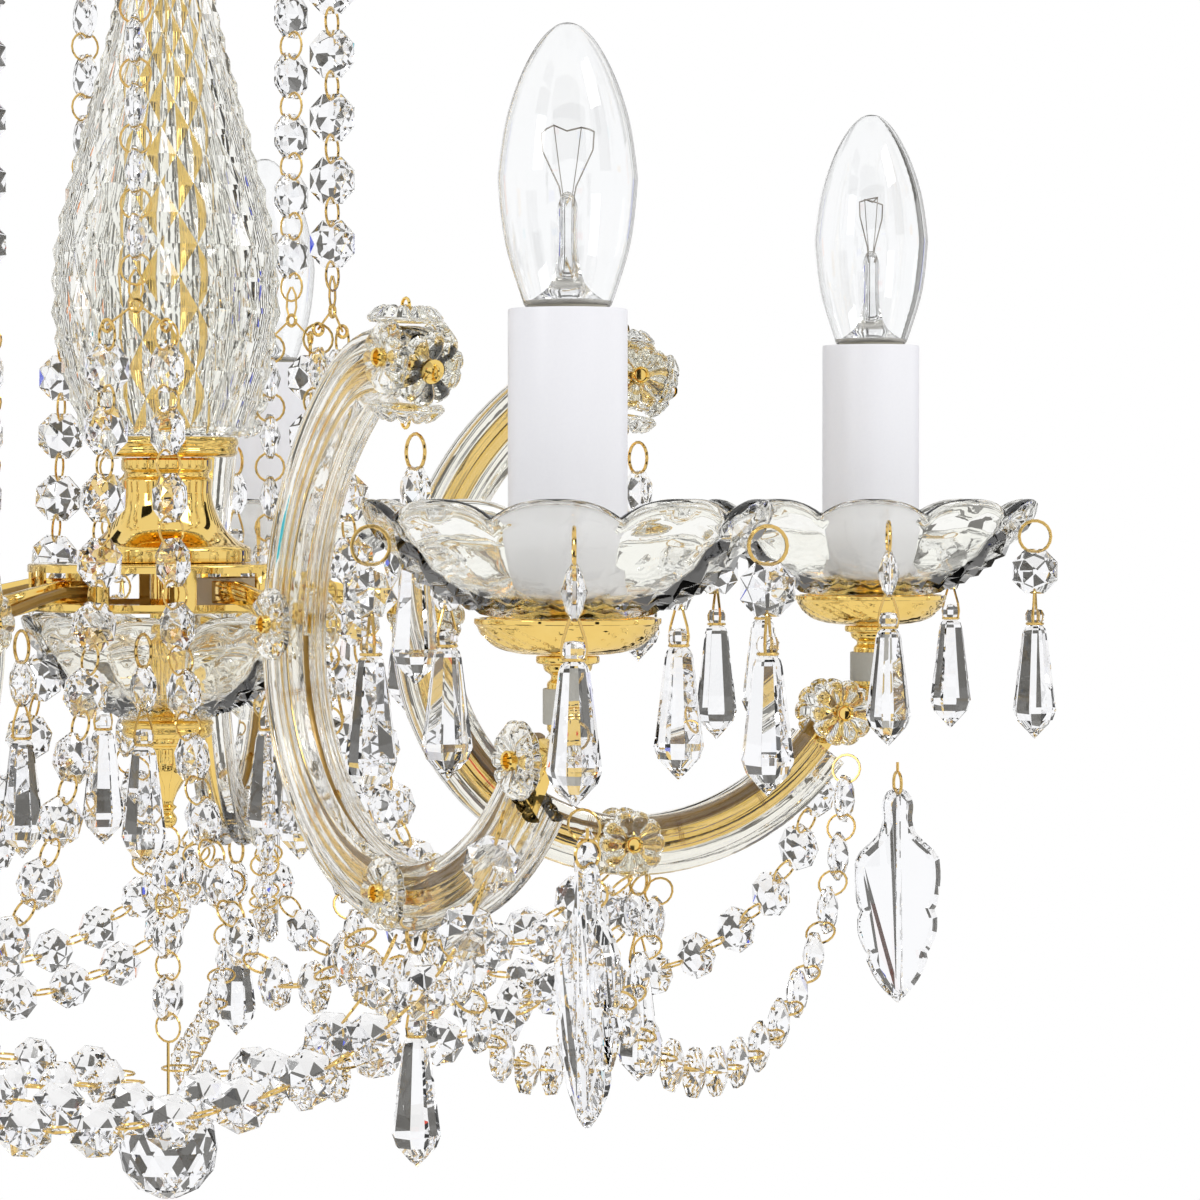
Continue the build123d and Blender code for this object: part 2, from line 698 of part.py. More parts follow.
def swag(radius, height, start_angle, end_angle, pull, ends=(9.0, 9.0)):
    """String that hangs between two points at the same radius and height."""
    return string_between(spot(radius, start_angle, height), down * pull, down * pull,
                          spot(radius, end_angle, height), ends)


hook_height = crown_dish_rim - pan_hole_drop
foot_down, foot_inward = hub_swag_foot_pull
foot_pull = down * foot_down
crown_places = []
hub_places = []
for gap in gap_angles:
    hook = spot(string_radius, gap, hook_height)
    crown_places += string_between(hook, down * crown_pull, down * -crown_pull,
                                   spot(string_radius, gap, string_foot_height), (4.0, 8.0))
    for side in (-1, 1):
        arm = gap + side * arm_step / 2
        top = spot(string_radius, gap + side * string_spread, string_foot_height - 8.0)
        foot = spot(arm_bottom_radius - 6.0, arm - side * 5.0, arm_bottom_height - 8.0)
        hub_places += string_between(top, down * hub_swag_pull, foot_pull + inward(arm, foot_inward), foot,
                                     (2.0, 4.0))

arm_places = []
for angle in arm_angles:
    arm_places += swag(arm_bottom_radius + 4.0, arm_bottom_height - 4.0, angle + 4.0,
                       angle + arm_step - 4.0, bottom_swag_pull)
    arm_places += swag(arm_end_radius - 3.0, arm_end_height - 12.0, angle + 3.5,
                       angle + arm_step - 3.5, end_swag_pull)
    arm_places += string_between(spot(arm_bottom_radius - 12.0, angle, arm_bottom_height - 16.0),
                                 down * ball_string_pull, Vector(ball_string_reach, 0, 4).rotate(Axis.Z, angle),
                                 spot(8.0, angle, ball_height + ball_radius + 6.0), (4.0, 8.0))

for name, places in (("crown_strings", crown_places), ("hub_swags", hub_places),
                     ("arm_swags", arm_places)):
    with BuildPart() as strings:
        with Locations(*places):
            add(crystal.part, clean=False)
    save(strings, name)

# ---------------------------------------------------------------- bottom ball and leaf pendants
with BuildPart() as bottom_ball:
    with Locations((0, 0, level(ball_height))):
        Sphere(ball_radius)
    with BuildSketch(Plane.XY.offset(level(ball_height))) as wire:
        Circle(wire_radius)
    extrude(amount=finial_foot - finial_waist - 1.5 - ball_height)
    ball_places = []
    for k in range(ball_crystals):
        side = Vector(1, 0, 0).rotate(Axis.Z, ball_crystal_turn)
        centre = spot(0, 0, finial_foot - 16.0 - k * crystal_pitch)
        ball_places.append(Plane(origin=centre, x_dir=side, z_dir=(0, 0, 1)).location)
    with Locations(*ball_places):
        add(crystal.part)
save(bottom_ball, "bottom_ball")

for number, angle in enumerate(arm_angles, start=1):
    top = spot(leaf_radius, angle, leaf_top)
    plane = radial_plane(angle)
    leaf_plane = Plane(origin=top, x_dir=plane.x_dir, z_dir=plane.z_dir)
    with BuildPart() as leaf:
        with BuildSketch(leaf_plane):
            with BuildLine():
                half = leaf_width / 2
                right = Spline((0, 0), (0.45 * half, -0.06 * leaf_length), (0.82 * half, -0.3 * leaf_length),
                               (half, -0.52 * leaf_length), (0.55 * half, -0.8 * leaf_length),
                               (0, -leaf_length))
                mirror(right, about=Plane.YZ)
            make_face()
        extrude(amount=leaf_thickness / 2, both=True)
        chamfer(leaf.faces().filter_by(Axis(leaf_plane.origin, leaf_plane.z_dir)).edges(),
                length=leaf_bevel)
        pivot = top + Vector(0, 0, leaf_wire)
        eyelet(Plane(origin=pivot, x_dir=plane.x_dir, z_dir=plane.z_dir))
        wire_down(pivot, eyelet_bore + wire_radius / 2, leaf_wire + 4.0)
    save(leaf, f"leaf_pendant_{number}")
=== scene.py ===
"""Looks of a five-arm crystal chandelier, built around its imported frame.

Every length in the classes is in millimetres and is turned to metres by MM. Heights are measured
from the plane of the candle pans' rims, as the chandelier's maker would measure them.
"""
import logging
import math
from dataclasses import dataclass, field
from enum import Enum
from typing import Optional

import bmesh
import bpy
from mathutils import Matrix, Vector


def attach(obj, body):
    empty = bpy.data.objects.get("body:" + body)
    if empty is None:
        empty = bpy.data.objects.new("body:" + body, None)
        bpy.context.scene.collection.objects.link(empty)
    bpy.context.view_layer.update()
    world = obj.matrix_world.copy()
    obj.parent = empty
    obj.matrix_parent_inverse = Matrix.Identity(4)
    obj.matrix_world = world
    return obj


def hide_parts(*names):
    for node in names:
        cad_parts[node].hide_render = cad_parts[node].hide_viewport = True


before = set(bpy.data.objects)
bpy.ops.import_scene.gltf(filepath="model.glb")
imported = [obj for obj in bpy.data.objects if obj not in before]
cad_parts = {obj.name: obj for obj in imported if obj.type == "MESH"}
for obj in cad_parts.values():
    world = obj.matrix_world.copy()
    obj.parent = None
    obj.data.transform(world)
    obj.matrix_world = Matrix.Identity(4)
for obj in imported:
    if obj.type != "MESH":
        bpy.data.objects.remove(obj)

LOG = logging.getLogger("chandelier")
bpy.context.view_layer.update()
MM = 0.001
TURN = 2.0 * math.pi
EYE_TO_RIM = 262.0


class Slot(str, Enum):
    """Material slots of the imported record."""

    GOLD = "gold_plated_brass"
    PRESSED = "pressed_glass"
    CRYSTAL = "cut_crystal"
    BULB = "bulb_glass"
    WHITE = "white_plastic"
    HOLDER = "holder_plastic"
    CABLE = "gold_pvc"


class Shade(Enum):
    """How a piece's faces are shaded."""

    FLAT = 0.0
    CREASED = 32.0
    SOFT = 62.0
    BUILT = 180.0


# ------------------------------------------------------------------ colours and finishes


def linear(code: str, alpha: float = 1.0) -> tuple[float, float, float, float]:
    """Turn an sRGB hex colour into the linear colour that shaders take.

    Args:
        code: Six hex digits, such as "D9B45A".
        alpha: Fourth value of the result.

    Returns:
        Linear red, green, blue and alpha.
    """
    parts = [int(code[k:k + 2], 16) / 255.0 for k in (0, 2, 4)]
    red, green, blue = (c / 12.92 if c <= 0.04045 else ((c + 0.055) / 1.055) ** 2.4 for c in parts)
    return (red, green, blue, alpha)


def add_node(tree: bpy.types.NodeTree, kind: str, settings: Optional[dict] = None,
             **inputs: object) -> bpy.types.Node:
    """Add one shader node, set it up and link it.

    Args:
        tree: The material's or world's node tree.
        kind: Blender's type name of the node.
        settings: Properties of the node itself.
        **inputs: Socket values or source sockets, with spaces in names as underscores.

    Returns:
        The new node.
    """
    node = tree.nodes.new(kind)
    for key, value in (settings or {}).items():
        setattr(node, key, value)
    for key, value in inputs.items():
        socket = node.inputs[int(key[1:])] if key[1:].isdigit() else node.inputs[key.replace("_", " ")]
        if isinstance(value, bpy.types.NodeSocket):
            tree.links.new(value, socket)
        else:
            socket.default_value = value
    return node


@dataclass(frozen=True)
class Finish:
    """A surface finish: one Principled shader, with grain in its roughness and its relief.

    The grain size is the real size of the surface's unevenness in millimetres.
    """

    name: str
    colour: str
    roughness: float
    metallic: float = 0.0
    ior: float = 1.5
    transmission: float = 0.0
    grain_mm: float = 4.0
    roughness_swing: float = 0.02
    relief_mm: float = 0.0
    second_colour: str = ""
    coat: float = 0.0
    slot: Slot = Slot.GOLD

    def material(self) -> bpy.types.Material:
        """Build the finish's material once and hand out the same one after that.

        Returns:
            The material of this finish.
        """
        ready = bpy.data.materials.get(self.name)
        if ready is not None:
            return ready
        material = bpy.data.materials.new(self.name)
        material.use_nodes = True
        tree = material.node_tree
        tree.nodes.clear()
        place = add_node(tree, "ShaderNodeTexCoord").outputs["Object"]
        grain = add_node(tree, "ShaderNodeTexNoise", {"noise_dimensions": "3D"}, Vector=place,
                         Scale=1.0 / (self.grain_mm * MM), Detail=3.0, Roughness=0.55)
        inputs = {"Metallic": self.metallic, "Transmission_Weight": self.transmission,
                  "Roughness": self.roughness, "Coat_Weight": self.coat}
        if self.roughness_swing:
            low = max(0.0, self.roughness - self.roughness_swing)
            rough = add_node(tree, "ShaderNodeMapRange", None, Value=grain.outputs["Fac"],
                             From_Min=0.3, From_Max=0.7, To_Min=low,
                             To_Max=self.roughness + self.roughness_swing)
            inputs["Roughness"] = rough.outputs["Result"]
        if self.metallic < 0.5:
            inputs["IOR"] = self.ior
        if self.second_colour:
            ramp = add_node(tree, "ShaderNodeMix", {"data_type": "RGBA"}, Factor=grain.outputs["Fac"],
                            _6=linear(self.colour), _7=linear(self.second_colour))
            inputs["Base_Color"] = ramp.outputs[2]
        else:
            inputs["Base_Color"] = linear(self.colour)
        if self.relief_mm:
            relief = add_node(tree, "ShaderNodeBump", None, Height=grain.outputs["Fac"], Strength=1.0,
                              Distance=self.relief_mm * MM)
            inputs["Normal"] = relief.outputs["Normal"]
        shader = add_node(tree, "ShaderNodeBsdfPrincipled", None, **inputs)
        add_node(tree, "ShaderNodeOutputMaterial", None, Surface=shader.outputs["BSDF"])
        return material


# Gold plate on polished brass: mirror-bright, with the faint waviness of hand polishing.
GOLD_PLATE = Finish("polished_gold_plate", "F1D280", 0.06, metallic=1.0, grain_mm=6.0,
                    roughness_swing=0.03, relief_mm=0.02, second_colour="E9C56E")
# Annealed brass wire, drawn and bent: a little duller and redder than the plated castings.
GOLD_WIRE = Finish("drawn_brass_wire", "E2C27C", 0.16, metallic=1.0, grain_mm=1.5,
                   roughness_swing=0.05, second_colour="D3AE62")
# Pressed soda-lime glass: fire-polished skin with soft waves left by the mould.
PRESSED_GLASS = Finish("pressed_soda_glass", "FAFAF6", 0.015, ior=1.51, transmission=1.0,
                       grain_mm=7.0, roughness_swing=0.01, relief_mm=0.025, slot=Slot.PRESSED)
# Drawn glass of the arm strips, a little warmer and with broader waves than the pressed pieces.
STRIP_GLASS = Finish("fluted_strip_glass", "FAF9F4", 0.02, ior=1.51, transmission=1.0,
                     grain_mm=9.0, roughness_swing=0.01, relief_mm=0.03, slot=Slot.PRESSED)
# Cut and polished crystal: flat, hard facets, so there is no relief at all.
CRYSTAL = Finish("cut_polished_crystal", "FDFDFE", 0.0, ior=1.56, transmission=1.0,
                 grain_mm=12.0, roughness_swing=0.0, second_colour="F8F9FC", slot=Slot.CRYSTAL)
# Clear blown glass of the bulbs.
BULB_GLASS = Finish("blown_bulb_glass", "FEFEFE", 0.0, ior=1.47, transmission=1.0,
                    grain_mm=20.0, roughness_swing=0.0, second_colour="FBFCFD", slot=Slot.BULB)
# White moulded polycarbonate tube with a satin skin.
WHITE_SATIN = Finish("satin_white_polycarbonate", "E2E2E6", 0.38, ior=1.58, grain_mm=0.9,
                     roughness_swing=0.05, relief_mm=0.012, second_colour="DEDEE3", slot=Slot.WHITE)
# Thermoset holder, cream-white and duller than the sleeve.
HOLDER_WHITE = Finish("moulded_holder_white", "E9E7DF", 0.5, ior=1.5, grain_mm=1.2,
                      roughness_swing=0.06, relief_mm=0.02, second_colour="E3E0D6", slot=Slot.HOLDER)
# Bronze-gold PVC flat cable: a metallic pigment under a smooth clear skin.
CABLE_PVC = Finish("bronze_gold_pvc", "9C7A35", 0.33, metallic=0.55, grain_mm=1.0,
                   roughness_swing=0.06, relief_mm=0.02, second_colour="876628", coat=0.25,
                   slot=Slot.CABLE)
# Silicone sleeve at the cable's entry.
GREY_SILICONE = Finish("grey_silicone", "A9A79E", 0.5, grain_mm=0.8, roughness_swing=0.05,
                       relief_mm=0.01, second_colour="9C9A92", slot=Slot.CABLE)
# Tinned brass screw cap of the bulb.
TINNED_CAP = Finish("tinned_cap", "C9C6BE", 0.2, metallic=1.0, grain_mm=2.0, roughness_swing=0.06)
# Tungsten and nickel-iron wires inside the bulb.
LAMP_WIRE = Finish("lamp_wire", "A09A92", 0.35, metallic=1.0, grain_mm=0.6, roughness_swing=0.05)


# ------------------------------------------------------------------ mesh helpers


def metres(x: float, y: float, z: float) -> Vector:
    """Point in metres from three millimetre values, Z measured from the pan rims."""
    return Vector((x, y, z - EYE_TO_RIM)) * MM


def about_axis(degrees: float) -> Matrix:
    """Turn about the chandelier's axis."""
    return Matrix.Rotation(math.radians(degrees), 4, "Z")


def upward(height: float) -> Matrix:
    """Shift straight up by a height in millimetres."""
    return Matrix.Translation((0.0, 0.0, height * MM))


def quarter(axis: str) -> Matrix:
    """Quarter turn about one axis."""
    return Matrix.Rotation(math.pi / 2, 4, axis)


def basis(x: Vector, y: Vector, z: Vector) -> Matrix:
    """Turn whose three axes are the given unit vectors."""
    return Matrix((x, y, z)).transposed().to_4x4()


def discard(*meshes: bpy.types.Mesh) -> None:
    """Remove pattern meshes that are no longer needed."""
    for mesh in meshes:
        bpy.data.meshes.remove(mesh)


def new_piece(name: str, bm: bmesh.types.BMesh, finish: Finish, body: str = "frame",
              shade: Shade = Shade.CREASED, replaces: tuple[str, ...] = (),
              clean: bool = True) -> None:
    """Turn a finished bmesh into a piece that rides on a body.

    Args:
        name: The piece's name.
        bm: The mesh, in metres and in place; it is freed here.
        finish: The piece's finish.
        body: The body that the piece rides on.
        shade: How the faces are shaded.
        replaces: CAD nodes that the piece stands for.
        clean: Merge doubles and recalculate normals before the mesh is written.
    """
    if clean:
        bmesh.ops.remove_doubles(bm, verts=bm.verts, dist=1e-6)
        bmesh.ops.recalc_face_normals(bm, faces=bm.faces)
    mesh = bpy.data.meshes.new(name)
    bm.to_mesh(mesh)
    bm.free()
    mesh.materials.append(finish.material())
    if shade is not Shade.BUILT:
        mesh.polygons.foreach_set("use_smooth", [shade is not Shade.FLAT] * len(mesh.polygons))
    if shade in (Shade.CREASED, Shade.SOFT):
        mesh.set_sharp_from_angle(angle=math.radians(shade.value))
    piece = bpy.data.objects.new(name, mesh)
    bpy.context.scene.collection.objects.link(piece)
    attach(piece, body)
    if replaces:
        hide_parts(*replaces)
    LOG.info("%s: %d faces on %s", name, len(mesh.polygons), body)


def stamp(target: bmesh.types.BMesh, pattern: bpy.types.Mesh, place: Matrix) -> None:
    """Add one placed copy of a pattern mesh to a bmesh."""
    copy = pattern.copy()
    copy.transform(place)
    target.from_mesh(copy)
    bpy.data.meshes.remove(copy)


def as_pattern(name: str, bm: bmesh.types.BMesh) -> bpy.types.Mesh:
    """Merge, orient and store a bmesh as a mesh that can be stamped; the bmesh is freed."""
    bmesh.ops.remove_doubles(bm, verts=bm.verts, dist=1e-6)
    bmesh.ops.recalc_face_normals(bm, faces=bm.faces)
    mesh = bpy.data.meshes.new(name)
    bm.to_mesh(mesh)
    bm.free()
    return mesh


def outline(bm: bmesh.types.BMesh, points: list[Vector], closed: bool) -> list:
    """Lay a line of vertices and edges.

    Args:
        bm: The bmesh to add to.
        points: The line's points in metres.
        closed: True to join the last point to the first.

    Returns:
        The new vertices and edges.
    """
    verts = [bm.verts.new(p) for p in points]
    pairs = list(zip(verts, verts[1:]))
    if closed:
        pairs.append((verts[-1], verts[0]))
    return verts + [bm.edges.new(pair) for pair in pairs]


def lathe(profile: list[tuple[float, float]], steps: int = 48, closed: bool = False,
          centre: Vector = Vector((0.0, 0.0, 0.0)), bm: Optional[bmesh.types.BMesh] = None
          ) -> bmesh.types.BMesh:
    """Spin an outline of (radius, height) in millimetres about an upright axis.

    Args:
        profile: The outline's points.
        steps: Number of faces round the turn.
        closed: True for an outline that closes on itself, as a ring's does.
        centre: Where the axis meets height zero, in metres.
        bm: A bmesh to add to, or None for a new one.

    Returns:
        The bmesh that holds the turned shape.
    """
    bm = bm or bmesh.new()
    points = [centre + Vector((r * MM, 0.0, h * MM)) for r, h in profile]
    geom = outline(bm, points, closed)
    bmesh.ops.spin(bm, geom=geom, cent=centre, axis=(0.0, 0.0, 1.0), angle=TURN, steps=steps,
                   use_merge=True)
    bmesh.ops.remove_doubles(bm, verts=bm.verts, dist=1e-6)
    bmesh.ops.delete(bm, geom=[e for e in bm.edges if e.is_wire], context="EDGES")
    return bm


def rounded(points: list[tuple[float, float]], radius: float, steps: int = 3
            ) -> list[tuple[float, float]]:
    """Round the inner corners of an outline with short arcs.

    Args:
        points: The outline's points.
        radius: Radius of the rounding, limited by the runs beside each corner.
        steps: Segments in each rounding.

    Returns:
        The points of the rounded outline.
    """
    result = [points[0]]
    for before, corner, after in zip(points, points[1:], points[2:]):
        a, b, c = Vector(before), Vector(corner), Vector(after)
        reach = min(radius, (a - b).length * 0.45, (c - b).length * 0.45)
        start = b + (a - b).normalized() * reach
        end = b + (c - b).normalized() * reach
        for k in range(steps + 1):
            t = k / steps
            spot = start * (1 - t) ** 2 + b * 2 * t * (1 - t) + end * t * t
            result.append((spot.x, spot.y))
    result.append(points[-1])
    return result


def flowing(points: list[tuple[float, float]], steps: int = 6) -> list[tuple[float, float]]:
    """Draw a smooth curve through an outline's points.

    Args:
        points: Points that the curve passes through.
        steps: Segments between two points.

    Returns:
        The points of the curve.
    """
    padded = [points[0], *points, points[-1]]
    result = []
    for p0, p1, p2, p3 in zip(padded, padded[1:], padded[2:], padded[3:]):
        a, b, c, d = (Vector(p) for p in (p0, p1, p2, p3))
        for k in range(steps):
            t = k / steps
            spot = 0.5 * (2 * b + (c - a) * t + (2 * a - 5 * b + 4 * c - d) * t * t
                          + (3 * b - a - 3 * c + d) * t ** 3)
            result.append((spot.x, spot.y))
    result.append(points[-1])
    return result


def wire_ring(radius: float, wire: float, steps: int = 14, sides: int = 6) -> bmesh.types.BMesh:
    """Closed ring of round wire about Y, centred at the origin, sizes in millimetres."""
    bm = bmesh.new()
    section = [Vector((radius + wire * math.cos(TURN * k / sides), wire * math.sin(TURN * k / sides), 0))
               for k in range(sides)]
    geom = outline(bm, [p * MM for p in section], True)
    bmesh.ops.spin(bm, geom=geom, cent=(0, 0, 0), axis=(0, 1, 0), angle=TURN, steps=steps,
                   use_merge=True)
    return bm


def wire_along(bm: bmesh.types.BMesh, points: list[Vector], wire: float, sides: int = 6) -> None:
    """Run a round wire through points: a disc at the first, extruded on to each of the others.

    Args:
        bm: The bmesh to add to.
        points: The wire's centre line in metres.
        wire: The wire's radius in millimetres.
        sides: Faces round the wire.
    """
    heading = (points[1] - points[0]).normalized()
    turn = heading.to_track_quat("Z", "Y").to_matrix().to_4x4()
    disc = bmesh.ops.create_circle(bm, segments=sides, radius=wire * MM, cap_ends=True,
                                   matrix=Matrix.Translation(points[0]) @ turn)
    face = disc["verts"][0].link_faces[0]
    for k, (here, there) in enumerate(zip(points, points[1:])):
        made = bmesh.ops.extrude_face_region(bm, geom=[face])
        face = next(g for g in made["geom"] if isinstance(g, bmesh.types.BMFace))
        bmesh.ops.translate(bm, verts=face.verts, vec=there - here)
        is_last = k + 2 == len(points)
        after = (there - here if is_last else points[k + 2] - there).normalized()
        aim = after if is_last else (heading + after).normalized()
        bmesh.ops.rotate(bm, verts=face.verts, cent=there,
                         matrix=heading.rotation_difference(aim).to_matrix())
        heading = aim


def tangent_arcs(points: list[tuple[float, float]], heading: float
                 ) -> list[tuple[Vector, float, float]]:
    """Join points by arcs that run smoothly on from one another.

    Args:
        points: The points as (radius, height).
        heading: Direction of the line at the first point, in degrees.

    Returns:
        For each arc its centre, its turn in radians and its length.
    """
    arcs = []
    direction = math.radians(heading)
    for start, end in zip(points, points[1:]):
        chord = Vector(end) - Vector(start)
        lean = math.atan2(chord.y, chord.x) - direction
        lean = math.atan2(math.sin(lean), math.cos(lean))
        radius = chord.length / (2.0 * math.sin(lean))
        normal = Vector((-math.sin(direction), math.cos(direction)))
        arcs.append((Vector(start) + normal * radius, 2.0 * lean, abs(2.0 * lean * radius)))
        direction += 2.0 * lean
    return arcs


def sweep(section: list[tuple[float, float]], start: tuple[float, float], heading: float,
          arcs: list[tuple[Vector, float, float]], step: float) -> bmesh.types.BMesh:
    """Sweep a closed section along arcs in the upright plane of the first arm.

    Args:
        section: Points as (aside, across), across pointing to the left of the heading.
        start: Where the sweep starts, as (radius, height).
        heading: Direction of the first arc's start, in degrees.
        arcs: Arcs from tangent_arcs.
        step: Longest face along the sweep, in millimetres.

    Returns:
        The bmesh that holds the swept shape, with both ends closed.
    """
    bm = bmesh.new()
    turn = math.radians(heading)
    left = Vector((-math.sin(turn), 0.0, math.cos(turn)))
    base = metres(start[0], 0.0, start[1])
    ring = [base + left * across * MM + Vector((0.0, aside * MM, 0.0)) for aside, across in section]
    geom = outline(bm, ring, True)
    bmesh.ops.contextual_create(bm, geom=[g for g in geom if isinstance(g, bmesh.types.BMEdge)])
    for centre, angle, length in arcs:
        made = bmesh.ops.spin(bm, geom=geom, cent=metres(centre.x, 0.0, centre.y),
                              axis=(0.0, -1.0, 0.0), angle=angle, steps=max(2, round(length / step)),
                              use_merge=False, use_duplicate=False)
        geom = [g for g in made["geom_last"] if not isinstance(g, bmesh.types.BMFace)]
    bmesh.ops.contextual_create(bm, geom=[g for g in geom if isinstance(g, bmesh.types.BMEdge)])
    return bm


def repeated(name: str, bm: bmesh.types.BMesh, places: list[Matrix]) -> bmesh.types.BMesh:
    """Stamp one finished shape in several places.

    Args:
        name: Name of the pattern while it is in use.
        bm: The shape; it is freed here.
        places: Where each copy goes.

    Returns:
        A bmesh that holds every copy.
    """
    pattern = as_pattern(name, bm)
    result = bmesh.new()
    for place in places:
        stamp(result, pattern, place)
    discard(pattern)
    return result


# ------------------------------------------------------------------ shared places


@dataclass(frozen=True)
class Layout:
    """Places that the sub-assemblies share."""

    arms: int = 5
    candle_radius: float = 220.0
    string_radius: float = 54.0
    string_foot: float = 57.0
    arm_bottom: tuple[float, float] = (145.0, -106.0)
    arm_end: tuple[float, float] = (211.25, -62.0)

    def arm_turns(self) -> list[float]:
        """Directions of the arms in degrees."""
        return [360.0 / self.arms * k for k in range(self.arms)]

    def gap_turns(self) -> list[float]:
        """Directions halfway between the arms in degrees."""
        return [turn + 180.0 / self.arms for turn in self.arm_turns()]

    def candle(self, turn: float) -> Vector:
        """Centre of one candle pan's rim in metres."""
        return about_axis(turn) @ metres(self.candle_radius, 0.0, 0.0)

    def arm_places(self) -> list[Matrix]:
        """Turn of each arm about the chandelier's axis."""
        return [about_axis(turn) for turn in self.arm_turns()]

    def candle_places(self) -> list[Matrix]:
        """Place of each candle, its origin at the centre of the pan's rim."""
        return [Matrix.Translation(self.candle(turn)) @ about_axis(turn) for turn in self.arm_turns()]


def spot(radius: float, turn: float, height: float) -> Vector:
    """Point in metres at a distance from the axis, in a direction, at a height."""
    return about_axis(turn) @ metres(radius, 0.0, height)


AXIS = metres(0.0, 0.0, 0.0)
LAYOUT = Layout()
# Hook under each curled tip, and the rosettes on the arms' flanks, as (radius, height).
TIP_HOOK = (145.0, 13.0)
SIDE_ROSETTES = [(78.5, -35.0), (141.0, -105.0), (208.25, -66.0), (143.0, 37.5)]
# Rosettes on the curled tips, as (radius, height, direction in degrees).
TIP_ROSETTES = [(150.75, 34.7, -20.0), (139.7, 46.9, 86.2), (140.5, 25.5, -98.4)]


# ------------------------------------------------------------------ pressed glass


@dataclass
class ColumnGlass:
    """Vase-shaped column of pressed glass, quilted with raised diamonds."""

    foot: float = 18.5
    top: float = 215.75
    neck: float = 11.0
    belly: float = 34.0
    wall: float = 4.0
    diamonds_round: int = 18
    diamond_at_belly: float = 19.0
    diamond_at_neck: float = 10.6
    cut_depth: float = 2.3

    def outside(self) -> list[tuple[float, float]]:
        """Outer outline of the column."""
        return flowing([(25.0, self.foot), (28.6, self.foot + 10.0), (33.0, self.foot + 28.0),
                        (self.belly, self.foot + 43.0), (32.6, self.foot + 60.0),
                        (0.75 * self.belly, self.foot + 88.0), (16.6, self.foot + 122.0),
                        (self.neck + 0.6, self.foot + 152.0), (self.neck, self.foot + 172.0),
                        (self.neck, self.top)], 8)

    def radius_at(self, height: float) -> float:
        """Outer radius at a height."""
        line = self.outside()
        for (r0, h0), (r1, h1) in zip(line, line[1:]):
            if h0 <= height <= h1:
                return r0 + (r1 - r0) * (height - h0) / max(h1 - h0, 1e-6)
        return line[-1][0]

    def rows(self) -> list[float]:
        """Heights of the diamonds' corners, closer together towards the neck."""
        heights = [self.foot + 2.5]
        while heights[-1] < self.top - 4.0:
            share = (self.radius_at(heights[-1]) - self.neck) / (self.belly - self.neck)
            tall = self.diamond_at_neck + (self.diamond_at_belly - self.diamond_at_neck) * share
            heights.append(heights[-1] + tall / 2.0)
        scale = (self.top - 4.0 - heights[0]) / (heights[-1] - heights[0])
        return [heights[0] + (h - heights[0]) * scale for h in heights]

    def build(self) -> None:
        """Build the column's wall, push the diamonds' edges in and dress it."""
        rows = self.rows()
        outer = [(self.radius_at(h), h) for h in rows]
        inner = [(r - self.wall, h) for r, h in reversed(outer)]
        profile = [(outer[0][0] - 1.0, self.foot)] + outer + [
            (self.neck - 0.4, self.top - 1.2), (self.neck - 1.6, self.top),
            (self.neck - self.wall, self.top)] + inner + [(outer[0][0] - self.wall, self.foot)]
        bm = lathe(profile, steps=2 * self.diamonds_round, closed=True, centre=AXIS)
        bmesh.ops.recalc_face_normals(bm, faces=bm.faces)
        valleys = []
        for vert in bm.verts:
            local = vert.co - AXIS
            radius, height = math.hypot(local.x, local.y) / MM, local.z / MM
            row = min(range(len(rows)), key=lambda k: abs(rows[k] - height))
            if abs(rows[row] - height) > 0.05 or abs(radius - outer[row][0]) > 0.05:
                continue
            column = round(math.atan2(local.y, local.x) / TURN * 2 * self.diamonds_round)
            if (row + column) % 2:
                valleys.append(vert)
                depth = self.cut_depth * (0.35 + 0.65 * radius / self.belly)
                vert.co -= Vector((local.x, local.y, 0.0)).normalized() * depth * MM
        bmesh.ops.connect_verts(bm, verts=valleys)
        for face in bm.faces:
            local = face.calc_center_median() - AXIS
            face.smooth = math.hypot(local.x, local.y) / MM < self.radius_at(local.z / MM) - 3.2
        new_piece("column_glass_quilted", bm, PRESSED_GLASS, "frame", Shade.BUILT,
                  ("column_glass",), clean=False)


